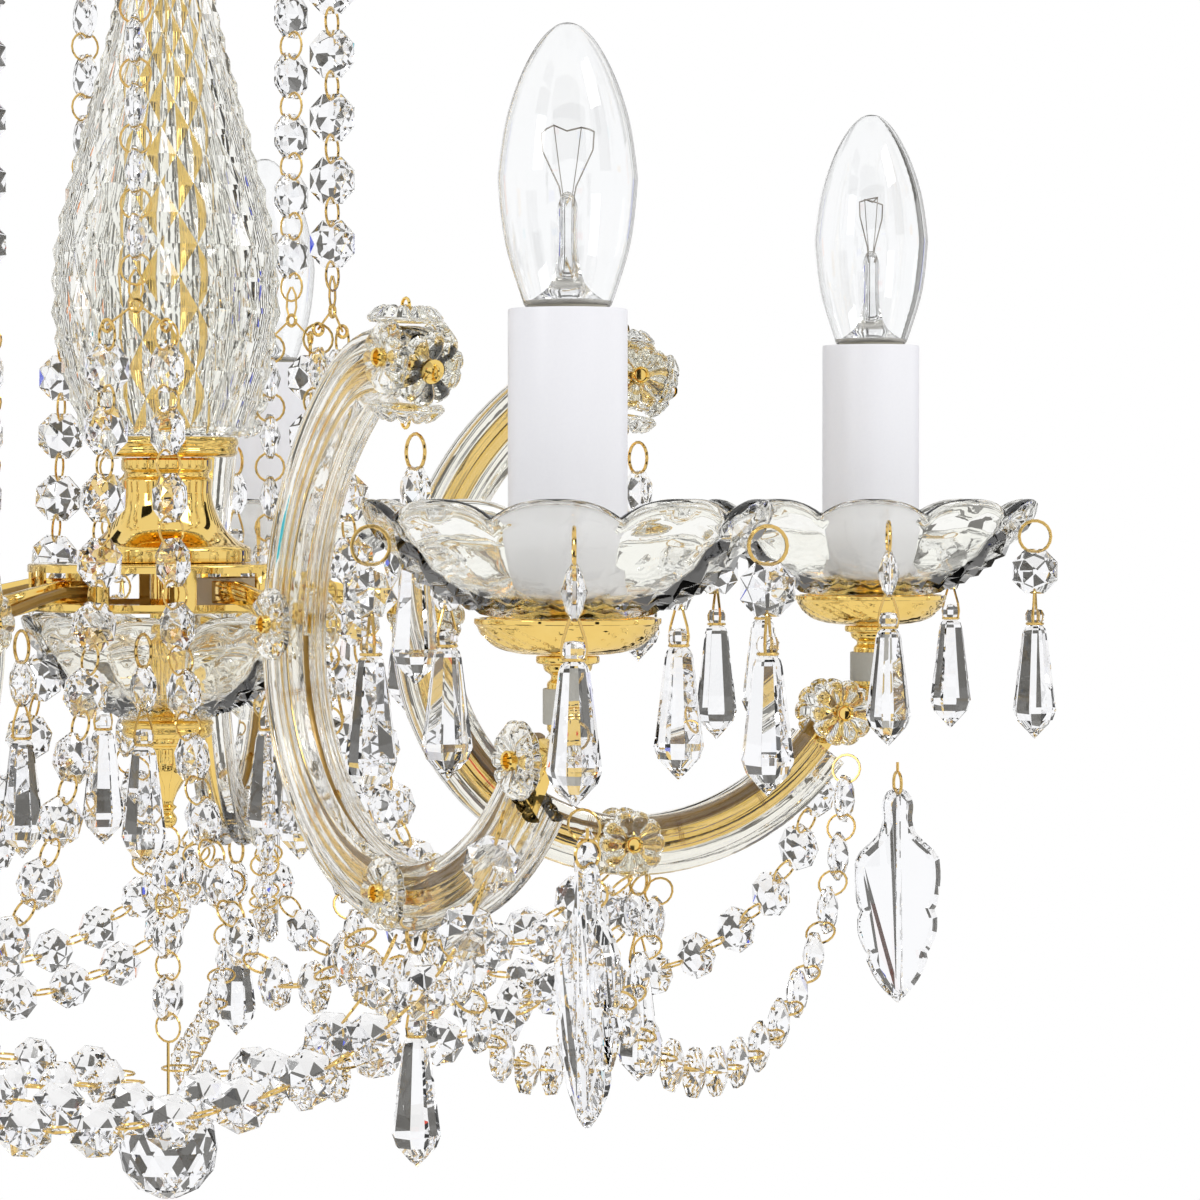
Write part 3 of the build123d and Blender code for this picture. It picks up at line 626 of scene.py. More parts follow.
@dataclass
class ScallopedDish:
    """Bowl of pressed glass with a petal rim and diamonds that shrink towards its foot."""

    name: str
    node: str
    rim: float = 52.0
    depth: float = 29.6
    foot: float = 19.0
    bore: float = 4.85
    wall: float = 3.6
    petals: int = 10
    petal_drop: float = 4.5
    diamonds_round: int = 20
    cut_depth: float = 2.3
    rows: int = 8

    def wall_point(self, share: float, inset: float) -> tuple[float, float]:
        """Point on the wall's arc from the foot, at 0, to the rim, at 1."""
        a = Vector((self.foot, -self.depth + inset))
        b = Vector((0.78 * self.rim - inset * 0.7, -0.62 * self.depth + inset * 0.7))
        c = Vector((self.rim - inset, 0.0))
        spread = 2.0 * (a.x * (b.y - c.y) + b.x * (c.y - a.y) + c.x * (a.y - b.y))
        ux = (a.length_squared * (b.y - c.y) + b.length_squared * (c.y - a.y)
              + c.length_squared * (a.y - b.y)) / spread
        uy = (a.length_squared * (c.x - b.x) + b.length_squared * (a.x - c.x)
              + c.length_squared * (b.x - a.x)) / spread
        centre = Vector((ux, uy))
        start = math.atan2(a.y - uy, a.x - ux)
        end = math.atan2(c.y - uy, c.x - ux)
        angle = start + (end - start) * share
        radius = (a - centre).length
        return (ux + radius * math.cos(angle), uy + radius * math.sin(angle))

    def shares(self) -> list[float]:
        """Places of the diamonds' corners along the wall, wider apart towards the rim."""
        steps = [1.0 + 1.25 * k / self.rows for k in range(self.rows)]
        total = sum(steps)
        places = [0.0]
        for step in steps:
            places.append(places[-1] + 0.84 * step / total)
        return places

    def pattern(self) -> bpy.types.Mesh:
        """Build one dish about the origin, its rim at height zero and a petal along X."""
        shares = self.shares()
        outer = [self.wall_point(s, 0.0) for s in shares]
        lip = [self.wall_point(0.89, -0.15), self.wall_point(0.95, -0.2), (self.rim, -0.9),
               (self.rim - 0.7, -0.15), (self.rim - 1.8, 0.0), (self.rim - 2.9, -0.5),
               (self.rim - self.wall, -1.8)]
        inner = [self.wall_point(s, self.wall) for s in (0.92, 0.8, 0.66, 0.52, 0.38, 0.24, 0.1, 0.0)]
        profile = [(self.bore, -self.depth), (self.foot - 2.0, -self.depth)] + outer + lip + inner + [
            (self.bore, -self.depth + self.wall)]
        bm = lathe(profile, steps=2 * self.diamonds_round, closed=True)
        rings = self.cut_diamonds(bm, outer)
        self.round_off(bm, rings)
        self.scallop(bm)
        for face in bm.faces:
            face.smooth = not all(v in rings for v in face.verts)
        bmesh.ops.triangulate(bm, faces=[f for f in bm.faces if len(f.verts) > 4])
        mesh = bpy.data.meshes.new(self.name)
        bm.to_mesh(mesh)
        bm.free()
        return mesh

    def cut_diamonds(self, bm: bmesh.types.BMesh, outer: list[tuple[float, float]]
                     ) -> dict[bmesh.types.BMVert, int]:
        """Push every second corner of the wall's grid in, which leaves raised diamonds.

        Args:
            bm: The turned dish.
            outer: Corners of the grid as (radius, height).

        Returns:
            Row of each vertex that is a corner of the grid.
        """
        bmesh.ops.recalc_face_normals(bm, faces=bm.faces)
        bm.normal_update()
        rings, valleys = {}, []
        for vert in bm.verts:
            radius, height = vert.co.xy.length / MM, vert.co.z / MM
            gaps = [abs(r - radius) + abs(h - height) for r, h in outer]
            row = gaps.index(min(gaps))
            if row and gaps[row] < 0.02:
                rings[vert] = row
                column = round(math.atan2(vert.co.y, vert.co.x) / TURN * 2 * self.diamonds_round)
                if (row + column) % 2:
                    valleys.append(vert)
        for vert in valleys:
            depth = self.cut_depth * (0.45 + 0.55 * rings[vert] / self.rows)
            vert.co -= vert.normal * depth * MM
        bmesh.ops.connect_verts(bm, verts=valleys)
        return rings

    def round_off(self, bm: bmesh.types.BMesh, rings: dict[bmesh.types.BMVert, int]) -> None:
        """Split the smooth faces round the dish and set their new vertices on the circle."""
        lattice = {f for f in bm.faces if all(v in rings for v in f.verts)}
        round_edges = []
        for edge in bm.edges:
            if any(v in rings for v in edge.verts) or any(f in lattice for f in edge.link_faces):
                continue
            a, b = edge.verts
            if abs(a.co.z - b.co.z) < 1e-6 and abs(a.co.xy.length - b.co.xy.length) < 1e-6:
                round_edges.append(edge)
        bmesh.ops.subdivide_edges(bm, edges=round_edges, cuts=3, use_grid_fill=True)
        step = TURN / (2 * self.diamonds_round)
        for vert in bm.verts:
            if vert.co.xy.length / MM >= self.foot + 1.0 and vert not in rings:
                angle = math.atan2(vert.co.y, vert.co.x)
                vert.co.xy *= math.cos(abs((angle / step) % 1.0 - 0.5) * step) / math.cos(step / 2)

    def scallop(self, bm: bmesh.types.BMesh) -> None:
        """Let the wall sag between the petals, more and more towards the rim."""
        for vert in bm.verts:
            if vert.co.xy.length / MM < self.foot + 1.0:
                continue
            angle = math.atan2(vert.co.y, vert.co.x)
            phase = abs(((angle / TURN * self.petals + 0.5) % 1.0) - 0.5) * 2.0
            climb = max(0.0, min(1.0, 1.0 + vert.co.z / MM / (0.8 * self.depth))) ** 1.6
            vert.co.z -= self.petal_drop * MM * climb * phase ** 2.6
            vert.co.xy *= 1.0 - 0.02 * climb * phase ** 3

    def build(self, places: list[tuple[Vector, float]]) -> None:
        """Set the dish in its places.

        Args:
            places: Centre of each rim in metres and the direction of its first petal.
        """
        pattern = self.pattern()
        bm = bmesh.new()
        for centre, turn in places:
            stamp(bm, pattern, Matrix.Translation(centre) @ about_axis(turn))
        discard(pattern)
        new_piece(self.name, bm, PRESSED_GLASS, "frame", Shade.BUILT, (self.node,),
                  clean=False)


@dataclass
class Rosettes:
    """Small moulded glass discs with ten petals, pinned to the arms with gold heads."""

    radius: float = 10.3
    thickness: float = 5.0
    petals: int = 10
    face: float = 6.25

    def disc(self) -> bpy.types.Mesh:
        """Disc that faces Z from a flat back at the origin."""
        t = self.thickness
        bm = lathe([(0.0, 0.0), (self.radius - 0.8, 0.0), (self.radius, 0.9), (self.radius, 1.7),
                    (self.radius * 0.8, t * 0.78), (self.radius * 0.62, t * 0.96),
                    (self.radius * 0.42, t * 0.8), (self.radius * 0.26, t * 0.62), (0.0, t * 0.6)],
                   steps=6 * self.petals)
        for vert in bm.verts:
            radius = vert.co.xy.length / MM
            phase = abs(math.cos(math.atan2(vert.co.y, vert.co.x) * self.petals / 2.0))
            swing = min(1.0, radius / self.radius) ** 2
            groove = (1.0 - phase) ** 2
            vert.co.xy *= 1.0 - 0.09 * swing * groove
            if vert.co.z > 0.002 and radius > 2.8:
                vert.co.z *= 1.0 - 0.34 * groove
        return as_pattern("rosette_disc", bm)

    def pin(self) -> bpy.types.Mesh:
        """Domed gold pin head with a washer, seated in the disc's dimple."""
        t = self.thickness
        bm = lathe([(0.0, t * 0.5), (2.6, t * 0.5), (2.6, t * 0.92), (2.3, t), (1.9, t * 0.92),
                    (1.8, t * 0.66), (0.0, t * 0.64)], steps=18)
        return as_pattern("rosette_pin", bm)

    def loop(self) -> bpy.types.Mesh:
        """Pin with a loop, which takes the wire of a hanging crystal."""
        t = self.thickness
        bm = lathe([(0.0, t * 0.55), (3.4, t * 0.55), (3.4, t * 0.72), (2.2, t * 0.78),
                    (1.2, t * 0.96), (0.0, t)], steps=16)
        ring = as_pattern("rosette_ring", wire_ring(1.9, 0.45, 12, 6))
        stamp(bm, ring, Matrix.Translation((0.0, 0.0, (t - 0.2) * MM)))
        discard(ring)
        return as_pattern("rosette_loop", bm)

    def build(self, side_spots: list[tuple[float, float]],
              tip_spots: list[tuple[float, float, float]]) -> None:
        """Pin the discs to the arms' flanks and tips.

        Args:
            side_spots: Places on the flanks as (radius, height).
            tip_spots: Places at the curled tips as (radius, height, direction in degrees).
        """
        disc, pin, loop = self.disc(), self.pin(), self.loop()
        glass, gold = bmesh.new(), bmesh.new()
        for turn in LAYOUT.arm_turns():
            for side in (-1.0, 1.0):
                facing = Matrix.Rotation(math.radians(-90.0 * side), 4, "X")
                for radius, height in side_spots:
                    base = metres(radius, side * self.face, height)
                    place = about_axis(turn) @ Matrix.Translation(base) @ facing
                    stamp(glass, disc, place)
                    stamp(gold, pin, place)
            for radius, height, tilt in tip_spots:
                facing = Matrix.Rotation(math.radians(90.0 - tilt), 4, "Y")
                place = about_axis(turn) @ Matrix.Translation(metres(radius, 0.0, height)) @ facing
                stamp(glass, disc, place)
                stamp(gold, loop, place)
        discard(disc, pin, loop)
        new_piece("rosette_discs", glass, PRESSED_GLASS, "frame", Shade.SOFT,
                  ("arm_rosettes",))
        new_piece("rosette_pins", gold, GOLD_PLATE)


# ------------------------------------------------------------------ turned brass


@dataclass
class TurnedBrass:
    """Collar, bell, nut and finial on the centre line."""

    tube: float = 5.25

    def build(self) -> None:
        """Turn each brass piece of the centre line."""
        tube = self.tube
        collar = rounded([(tube, 12.3), (19.6, 12.3), (21.3, 13.6), (20.4, 15.0), (21.5, 16.4),
                          (20.8, 18.25), (tube, 18.25)], 0.9)
        bell = [(tube, 12.05), (12.6, 12.05)] + rounded(
            [(13.4, 11.4), (13.4, 8.6), (12.4, 7.8), (12.4, 6.4), (13.4, 5.6), (13.2, 2.0)], 0.8) + flowing(
            [(13.2, 2.0), (14.2, -2.5), (17.0, -8.5), (20.6, -12.0), (23.6, -13.8)], 5) + rounded(
            [(24.2, -14.0), (25.0, -14.9), (25.0, -18.75), (23.0, -18.75), (22.6, -15.2)], 0.5) + [
            (18.5, -11.0), (12.0, -2.0), (tube, 0.0)]
        nut = rounded([(tube, -65.25), (13.0, -65.25), (14.0, -66.4), (13.0, -67.6), (13.6, -68.8),
                       (12.5, -70.75), (tube, -70.75)], 0.8)
        finial = [(0.0, -71.0)] + rounded(
            [(7.6, -71.0), (7.6, -72.6), (6.2, -73.6), (6.6, -76.0)], 0.7) + flowing(
            [(6.6, -76.0), (6.7, -79.0), (5.4, -83.0), (3.0, -87.0), (1.8, -90.0)], 4) + rounded(
            [(1.8, -90.6), (2.9, -91.4), (1.8, -92.4), (1.8, -93.0)], 0.3) + flowing(
            [(1.8, -93.0), (2.8, -94.8), (2.2, -96.8), (0.0, -97.8)], 4)
        for name, node, profile, closed in (("collar_turned", "column_collar", collar, True),
                                            ("bell_spun", "neck_bell", bell, True),
                                            ("nut_turned", "bowl_nut", nut, True),
                                            ("finial_turned", "finial", finial, False)):
            new_piece(name, lathe(profile, 64, closed, AXIS), GOLD_PLATE,
                      replaces=(node,))
        pipe = [(4.0, -70.5), (5.0, -70.5), (5.0, 221.3), (4.0, 221.3)]
        new_piece("centre_pipe", lathe(pipe, 32, True, AXIS), GOLD_PLATE,
                  replaces=("centre_tube",))


@dataclass
class HubRing:
    """Spun ring that carries the arms, pierced by a window at each arm and between arms."""

    radius: float = 41.0
    top: float = -19.0
    depth: float = 14.0
    wall: float = 1.6
    window: float = 9.0
    windows: int = 10
    tube: float = 5.25

    def build(self) -> None:
        """Spin the wall, open the windows, thicken it and add the plates."""
        sill = (self.depth - self.window) / 2.0
        bottom = self.top - self.depth
        heights = [bottom + 0.9, bottom + sill, self.top - sill, self.top - 0.9]
        bm = lathe([(self.radius - 0.8, h) for h in heights], 120, False, AXIS)
        bmesh.ops.recalc_face_normals(bm, faces=bm.faces)
        openings = []
        for face in bm.faces:
            centre = face.calc_center_median() - AXIS
            step = math.degrees(math.atan2(centre.y, centre.x)) % (360.0 / self.windows)
            aside = min(step, 360.0 / self.windows - step)
            if bottom + sill < centre.z / MM < self.top - sill and aside < 13.5:
                openings.append(face)
        bmesh.ops.delete(bm, geom=openings, context="FACES")
        bmesh.ops.solidify(bm, geom=bm.faces[:], thickness=-self.wall / 2 * MM)
        for low in (bottom, self.top - self.wall):
            rim = rounded([(self.tube, low), (self.radius - 0.6, low), (self.radius, low + 0.5),
                           (self.radius, low + self.wall - 0.5), (self.radius - 0.6, low + self.wall),
                           (self.tube, low + self.wall)], 0.4)
            lathe(rim, 120, True, AXIS, bm)
        new_piece("hub_ring_spun", bm, GOLD_PLATE, replaces=("hub_ring",))


@dataclass
class HangingEye:
    """Cast ring for the chain, on a flange above the crown dish."""

    bore: float = 9.0
    wall: float = 3.5
    width: float = 5.0
    flange: float = 12.0
    flange_low: float = 219.85
    flange_high: float = 224.85

    def build(self) -> None:
        """Spin the ring about its bore and turn the flange under it."""
        bm = bmesh.new()
        middle = self.bore + self.wall / 2.0
        section = [Vector((middle + self.wall / 2 * math.cos(TURN * k / 14),
                           self.width / 2 * math.sin(TURN * k / 14), 0.0)) * MM for k in range(14)]
        bmesh.ops.spin(bm, geom=outline(bm, section, True), cent=(0, 0, 0), axis=(0, 1, 0),
                       angle=TURN, steps=56, use_merge=True)
        low, high = self.flange_low, self.flange_high
        stalk = rounded([(self.flange, low), (self.flange, low + 1.6), (self.flange - 1.2, low + 2.6),
                         (self.flange - 4.5, high - 1.4), (5.2, high), (4.4, high + 4.0),
                         (4.4, high + 20.0), (5.0, high + 25.5)], 0.8)
        socket = [(0.0, low + 3.0), (5.25, low + 3.0), (5.25, low)]
        lathe(socket + stalk + [(0.0, high + 25.5)], 40, False, AXIS, bm)
        new_piece("hanging_eye_cast", bm, GOLD_PLATE, replaces=("hanging_eye",))


# ------------------------------------------------------------------ arms


@dataclass
class Arms:
    """S-shaped arms: a gold bar between two fluted glass strips, with a flat cable inside."""

    tip: tuple[float, float] = (150.0, 35.0)
    shoulder: tuple[float, float] = (112.0, 29.0)
    back: tuple[float, float] = (78.0, -38.0)
    bottom: tuple[float, float] = LAYOUT.arm_bottom
    end: tuple[float, float] = LAYOUT.arm_end
    heading: float = 160.0
    strip_share: float = 0.8
    bar_width: float = 6.5
    bar_thickness: float = 3.0
    strip_width: float = 18.0
    strip_inner: float = 1.75
    strip_outer: float = 6.0
    flutes: int = 5
    hub: float = 41.0
    bracket: float = -27.0
    bracket_drop: float = 6.0
    cable_aside: float = 3.3

    def arcs(self) -> list[tuple[Vector, float, float]]:
        """Arcs of the arm's centre line, from the curled tip to the stem."""
        return tangent_arcs([self.tip, self.shoulder, self.back, self.bottom, self.end], self.heading)

    def bars(self) -> None:
        """Sweep the gold bars, with eased edges, and cut their brackets to the hub."""
        half_w, half_t, ease = self.bar_width / 2, self.bar_thickness / 2, 0.5
        section = [(-half_t, -half_w + ease), (-half_t + ease, -half_w), (half_t - ease, -half_w),
                   (half_t, -half_w + ease), (half_t, half_w - ease), (half_t - ease, half_w),
                   (-half_t + ease, half_w), (-half_t, half_w - ease)]
        bm = sweep(section, self.tip, self.heading, self.arcs(), 4.0)
        outer = self.back[0] - self.bar_width / 4
        low = self.bracket - self.bracket_drop
        side = [(self.hub - 10.0, self.bracket), (self.hub + 4.0, self.bracket), (outer, low)]
        bracket = bmesh.new()
        upper = [metres(r, -half_t, h + half_w) for r, h in side]
        lower = [metres(r, -half_t, h - half_w) for r, h in reversed(side)]
        bmesh.ops.contextual_create(bracket, geom=outline(bracket, upper + lower, True))
        made = bmesh.ops.extrude_face_region(bracket, geom=bracket.faces[:])
        moved = [g for g in made["geom"] if isinstance(g, bmesh.types.BMVert)]
        bmesh.ops.translate(bracket, verts=moved, vec=(0.0, self.bar_thickness * MM, 0.0))
        bmesh.ops.recalc_face_normals(bracket, faces=bracket.faces)
        bmesh.ops.bevel(bracket, geom=bracket.edges[:], offset=0.4 * MM, segments=2, profile=0.5,
                        affect="EDGES", material=-1)
        piece = as_pattern("arm_bracket", bracket)
        stamp(bm, piece, Matrix.Identity(4))
        discard(piece)
        new_piece("arm_bars_plated", repeated("arm_bar", bm, LAYOUT.arm_places()), GOLD_PLATE,
                  replaces=("arm_bars",))

    def strip_section(self, side: float) -> list[tuple[float, float]]:
        """Section of a strip: flat towards the bar, fluted lengthwise outside.

        Args:
            side: 1 or -1, the side of the bar.

        Returns:
            Points as (aside, across).
        """
        half = self.strip_width / 2
        crown = self.strip_outer
        points = [(self.strip_inner, half - 0.5), (self.strip_inner, -half + 0.5),
                  (self.strip_inner + 0.6, -half), (crown - 2.0, -half)]
        pitch = (self.strip_width - 1.0) / self.flutes
        for k in range(self.flutes):
            centre = -half + 0.5 + pitch * (k + 0.5)
            for lean in (-60.0, -30.0, 0.0, 30.0, 60.0):
                turn = math.radians(lean)
                points.append((crown - 1.1 + 1.1 * math.cos(turn),
                               centre + pitch * 0.5 * math.sin(turn) / math.sin(math.radians(66.0))))
        points += [(crown - 2.0, half), (self.strip_inner + 0.6, half)]
        return [(side * aside, across) for aside, across in points]

    def strips(self) -> None:
        """Sweep the fluted glass strips on both sides of each bar."""
        arcs = self.arcs()
        centre, turn, length = arcs[-1]
        arcs[-1] = (centre, turn * self.strip_share, length * self.strip_share)
        bm = bmesh.new()
        for side in (-1.0, 1.0):
            half = as_pattern("strip", sweep(self.strip_section(side), self.tip, self.heading, arcs,
                                             4.5))
            stamp(bm, half, Matrix.Identity(4))
            discard(half)
        new_piece("arm_strips_fluted", repeated("arm_strip", bm, LAYOUT.arm_places()), STRIP_GLASS,
                  replaces=("arm_strips",))

    def cable_section(self) -> list[tuple[float, float]]:
        """Section of the flat cable: two rounded cores side by side with a groove between."""
        points = []
        for core in (-0.72, 0.72):
            for lean in range(-90, 91, 30):
                turn = math.radians(lean)
                points.append((core + math.copysign(0.76, core) * math.cos(turn), math.sin(turn) * 1.5))
        half = len(points) // 2
        return points[:half] + list(reversed(points[half:]))

    def cables(self) -> None:
        """Lay the flat cable on the bar's inner edge and tie it with gold wire."""
        arcs = self.arcs()
        heading = self.heading + math.degrees(sum(turn for _, turn, _ in arcs[:2]))
        inward = self.bar_width / 2 + 1.85
        left = math.radians(heading + 90.0)
        start = (self.back[0] + inward * math.cos(left), self.back[1] + inward * math.sin(left))
        bm = sweep(self.cable_section(), start, heading, arcs[2:], 4.0)
        reach = self.back[0] - self.strip_width / 2 - 0.5
        run = [(self.hub - 8.0, self.bracket), (self.hub + 4.0, self.bracket),
               (self.hub + 14.0, self.bracket - 2.2), (reach, self.bracket - self.bracket_drop)]
        wire_along(bm, [metres(r, self.cable_aside, h) for r, h in run], 1.55, 10)
        pieces = repeated("arm_cable", bm, LAYOUT.arm_places())
        new_piece("arm_cables_flat", pieces, CABLE_PVC, replaces=("arm_cables",))
        ties = bmesh.new()
        band = as_pattern("tie_band", self.tie())
        for share in (0.16, 0.5, 0.84):
            for centre, turn, length in arcs[2:]:
                begin = Vector(self.back if centre is arcs[2][0] else self.bottom) - centre
                base = math.atan2(begin.y, begin.x)
                angle = base + turn * share
                radius = begin.length - inward * 0.5
                place = metres(centre.x + radius * math.cos(angle), 0.0,
                               centre.y + radius * math.sin(angle))
                stamp(ties, band, Matrix.Translation(place) @ Matrix.Rotation(-angle, 4, "Y"))
        discard(band)
        new_piece("cable_ties", repeated("cable_tie", ties, LAYOUT.arm_places()), GOLD_WIRE)

    def tie(self) -> bmesh.types.BMesh:
        """Band of thin wire round bar and cable, long way along X."""
        wide = Matrix.Diagonal((5.4, 2.0, 1.0, 1.0)) @ quarter("X")
        return repeated("tie_turn", wire_ring(1.0, 0.06, 24, 5),
                        [upward(step) @ wide for step in (-0.6, 0.0, 0.6)])

    def build(self) -> None:
        """Build the arms' bars, strips and cables."""
        self.bars()
        self.strips()
        self.cables()


# ------------------------------------------------------------------ candles


@dataclass
class Candles:
    """Brass cups, stems, white sleeves and clear bulbs on the five candle axes."""

    sleeve: float = 15.0
    sleeve_low: float = -25.75
    sleeve_top: float = 47.5
    cup: float = 23.5
    cup_top: float = -29.85
    gadroons: int = 22
    bulb_foot: float = 48.5
    bulb_top: float = 119.0
    bulb_wall: float = 0.45

    def set_round(self, name: str, bm: bmesh.types.BMesh, finish: Finish,
                  replaces: tuple[str, ...] = (), shade: Shade = Shade.CREASED) -> None:
        """Put one shape on each candle axis as a single piece.

        Args:
            name: The piece's name.
            bm: The shape about the origin, heights from the pan's rim; it is freed here.
            finish: The piece's finish.
            replaces: CAD nodes that the piece stands for.
            shade: How the faces are shaded.
        """
        new_piece(name, repeated(name, bm, LAYOUT.candle_places()), finish, "frame", shade,
                  replaces)

    def cup_shape(self) -> bmesh.types.BMesh:
        """Spun cup with slanting gadroons pressed into its wall."""
        top, wide = self.cup_top, self.cup
        outer = flowing([(9.9, -38.9), (13.5, -38.6), (18.4, -37.0), (21.8, -34.0), (23.0, -31.6)], 4)
        profile = [(4.85, -38.9)] + outer + rounded(
            [(23.0, -31.6), (wide, -31.2), (wide, top), (wide - 1.3, top), (wide - 1.3, -31.4)], 0.3) + [
            (20.6, -33.4), (17.4, -35.8), (13.0, -37.3), (9.9, -37.7), (4.85, -37.7)]
        bm = lathe(profile, 132, True)
        for vert in bm.verts:
            height, radius = vert.co.z / MM, vert.co.xy.length / MM
            share = max(0.0, min(1.0, (height + 38.9) / 7.3))
            if 9.5 < radius < 23.1 and height < -31.5:
                angle = math.atan2(vert.co.y, vert.co.x) + 0.75 * share
                wave = abs(math.sin(angle * self.gadroons / 2.0))
                vert.co.xy *= 1.0 - 0.05 * math.sin(share * math.pi) * (1.0 - wave)
        return bm

    def stem_shape(self) -> bmesh.types.BMesh:
        """Turned stem with beads, a flange under the cup and the threaded nipple above it."""
        low = rounded([(0.0, -68.0), (4.2, -68.0), (5.25, -66.8), (5.25, -61.0), (4.3, -60.2),
                       (4.3, -58.8), (5.25, -58.0), (5.25, -46.0), (4.2, -45.2), (4.2, -44.2),
                       (6.0, -43.0), (6.2, -41.5), (8.0, -41.2), (8.0, -39.3), (4.6, -39.2)], 0.6)
        return lathe(low + [(4.6, -21.0), (0.0, -21.0)], 40)

    def sleeve_shape(self) -> bmesh.types.BMesh:
        """Thin tube with a rolled lip."""
        inner = self.sleeve - 1.2
        return lathe(rounded([(inner, 0.0), (inner, self.sleeve_low), (self.sleeve, self.sleeve_low),
                              (self.sleeve, self.sleeve_top), (inner, self.sleeve_top),
                              (inner, 0.0)], 0.55)[:-1], 64, True)

    def holder_shape(self) -> bmesh.types.BMesh:
        """Moulded lampholder with a ribbed skirt and the bore for the bulb's cap."""
        return lathe(rounded([(4.85, -25.7), (12.6, -25.7), (12.6, 30.0), (11.8, 31.0), (11.8, 33.0),
                              (12.6, 34.0), (12.6, 45.5), (7.6, 45.5), (7.6, 20.5), (4.85, 20.5),
                              (4.85, -25.7)], 0.6)[:-1], 40, True)

    def bulb_outline(self) -> list[tuple[float, float]]:
        """Closed outline of the bulb's glass: up the outer skin and down the inner one."""
        skin = flowing([(11.0, self.bulb_foot), (12.6, 53.0), (15.8, 64.0), (17.4, 77.0), (17.3, 83.0),
                        (15.4, 95.0), (11.9, 105.5), (7.6, 113.5), (3.4, 117.9), (0.0, self.bulb_top)], 4)
        inner = [(r - self.bulb_wall, h) for r, h in skin if r > 1.5]
        return skin + [(0.0, self.bulb_top - self.bulb_wall)] + list(reversed(inner))

    def bulbs(self) -> None:
        """Blow the five bulbs, each with its cap, glass stem and coiled filament."""
        for number, turn in enumerate(LAYOUT.arm_turns(), start=1):
            centre, body = LAYOUT.candle(turn), f"bulb_{number}"
            shell = lathe(self.bulb_outline(), 48, True, centre)
            stem = lathe(flowing([(9.0, 49.8), (5.0, 53.0), (3.0, 58.0), (2.4, 66.0), (2.6, 72.0),
                                  (1.5, 76.0), (0.0, 76.8)], 3), 20, False, centre)
            base = [v for v in stem.verts if abs(v.co.z - centre.z - 49.8 * MM) < 1e-5]
            bmesh.ops.contextual_create(stem, geom=base)
            new_piece(f"bulb_glass_{number}", shell, BULB_GLASS, body, replaces=(body,))
            new_piece(f"bulb_stem_{number}", stem, BULB_GLASS, body)
            cap = lathe(self.cap_outline(), 32, False, centre)
            new_piece(f"bulb_cap_{number}", cap, TINNED_CAP, body)
            new_piece(f"bulb_filament_{number}", self.filament(centre, turn), LAMP_WIRE, body)

    def cap_outline(self) -> list[tuple[float, float]]:
        """Outline of the screw cap, from its contact to the neck of the glass."""
        thread = []
        for k in range(5):
            low = 27.5 + 3.6 * k
            thread += [(6.3, low), (6.9, low + 1.2), (6.9, low + 2.0), (6.3, low + 3.2)]
        return [(0.0, 23.5), (2.4, 23.7), (3.2, 25.0), (5.8, 26.6)] + thread + [
            (6.9, 46.0), (10.8, 48.2), (11.2, 49.4), (10.2, 49.6), (0.0, 49.6)]

    def filament(self, centre: Vector, turn: float) -> bmesh.types.BMesh:
        """Two leads, two supports and a zigzag filament above the glass stem."""
        bm = bmesh.new()
        place = Matrix.Translation(centre) @ about_axis(turn + 40.0)

        def at(x: float, y: float, h: float) -> Vector:
            """Point in metres about the candle's axis."""
            return place @ (Vector((x, y, h)) * MM)

        for side in (-1.0, 1.0):
            wire_along(bm, [at(side * 1.2, 0, 73.0), at(side * 2.2, 0, 78.0), at(side * 6.6, 0, 87.0),
                            at(side * 6.9, 0, 91.5)], 0.2, 6)
            wire_along(bm, [at(side * 0.7, side, 74.5), at(side * 1.6, side * 2.6, 84.0),
                            at(side * 2.4, side * 3.8, 93.0)], 0.13, 5)
        wire_along(bm, [at(-6.9, 0, 91.5), at(-4.8, -2.0, 92.4), at(-2.4, -3.8, 93.0), at(0, -0.6, 91.8),
                        at(2.4, 3.8, 93.0), at(4.8, 2.0, 92.4), at(6.9, 0, 91.5)], 0.22, 6)
        return bm

    def build(self) -> None:
        """Build everything that stands on the candle axes, apart from the pans."""
        self.set_round("pan_cups_spun", self.cup_shape(), GOLD_PLATE, ("pan_cups",))
        self.set_round("arm_stems_turned", self.stem_shape(), GOLD_PLATE, ("arm_stems",))
        self.set_round("sleeves_satin", self.sleeve_shape(), WHITE_SATIN,
                       ("candle_sleeves",))
        self.set_round("holders_moulded", self.holder_shape(), HOLDER_WHITE,
                       ("lampholders",))
        gaiter = lathe(rounded([(5.5, -56.5), (6.3, -56.5), (6.3, -47.5), (5.5, -47.5), (5.5, -56.5)],
                               0.4)[:-1], 32, True)
        self.set_round("cable_gaiters", gaiter, GREY_SILICONE)
        self.bulbs()


# ------------------------------------------------------------------ cut crystal


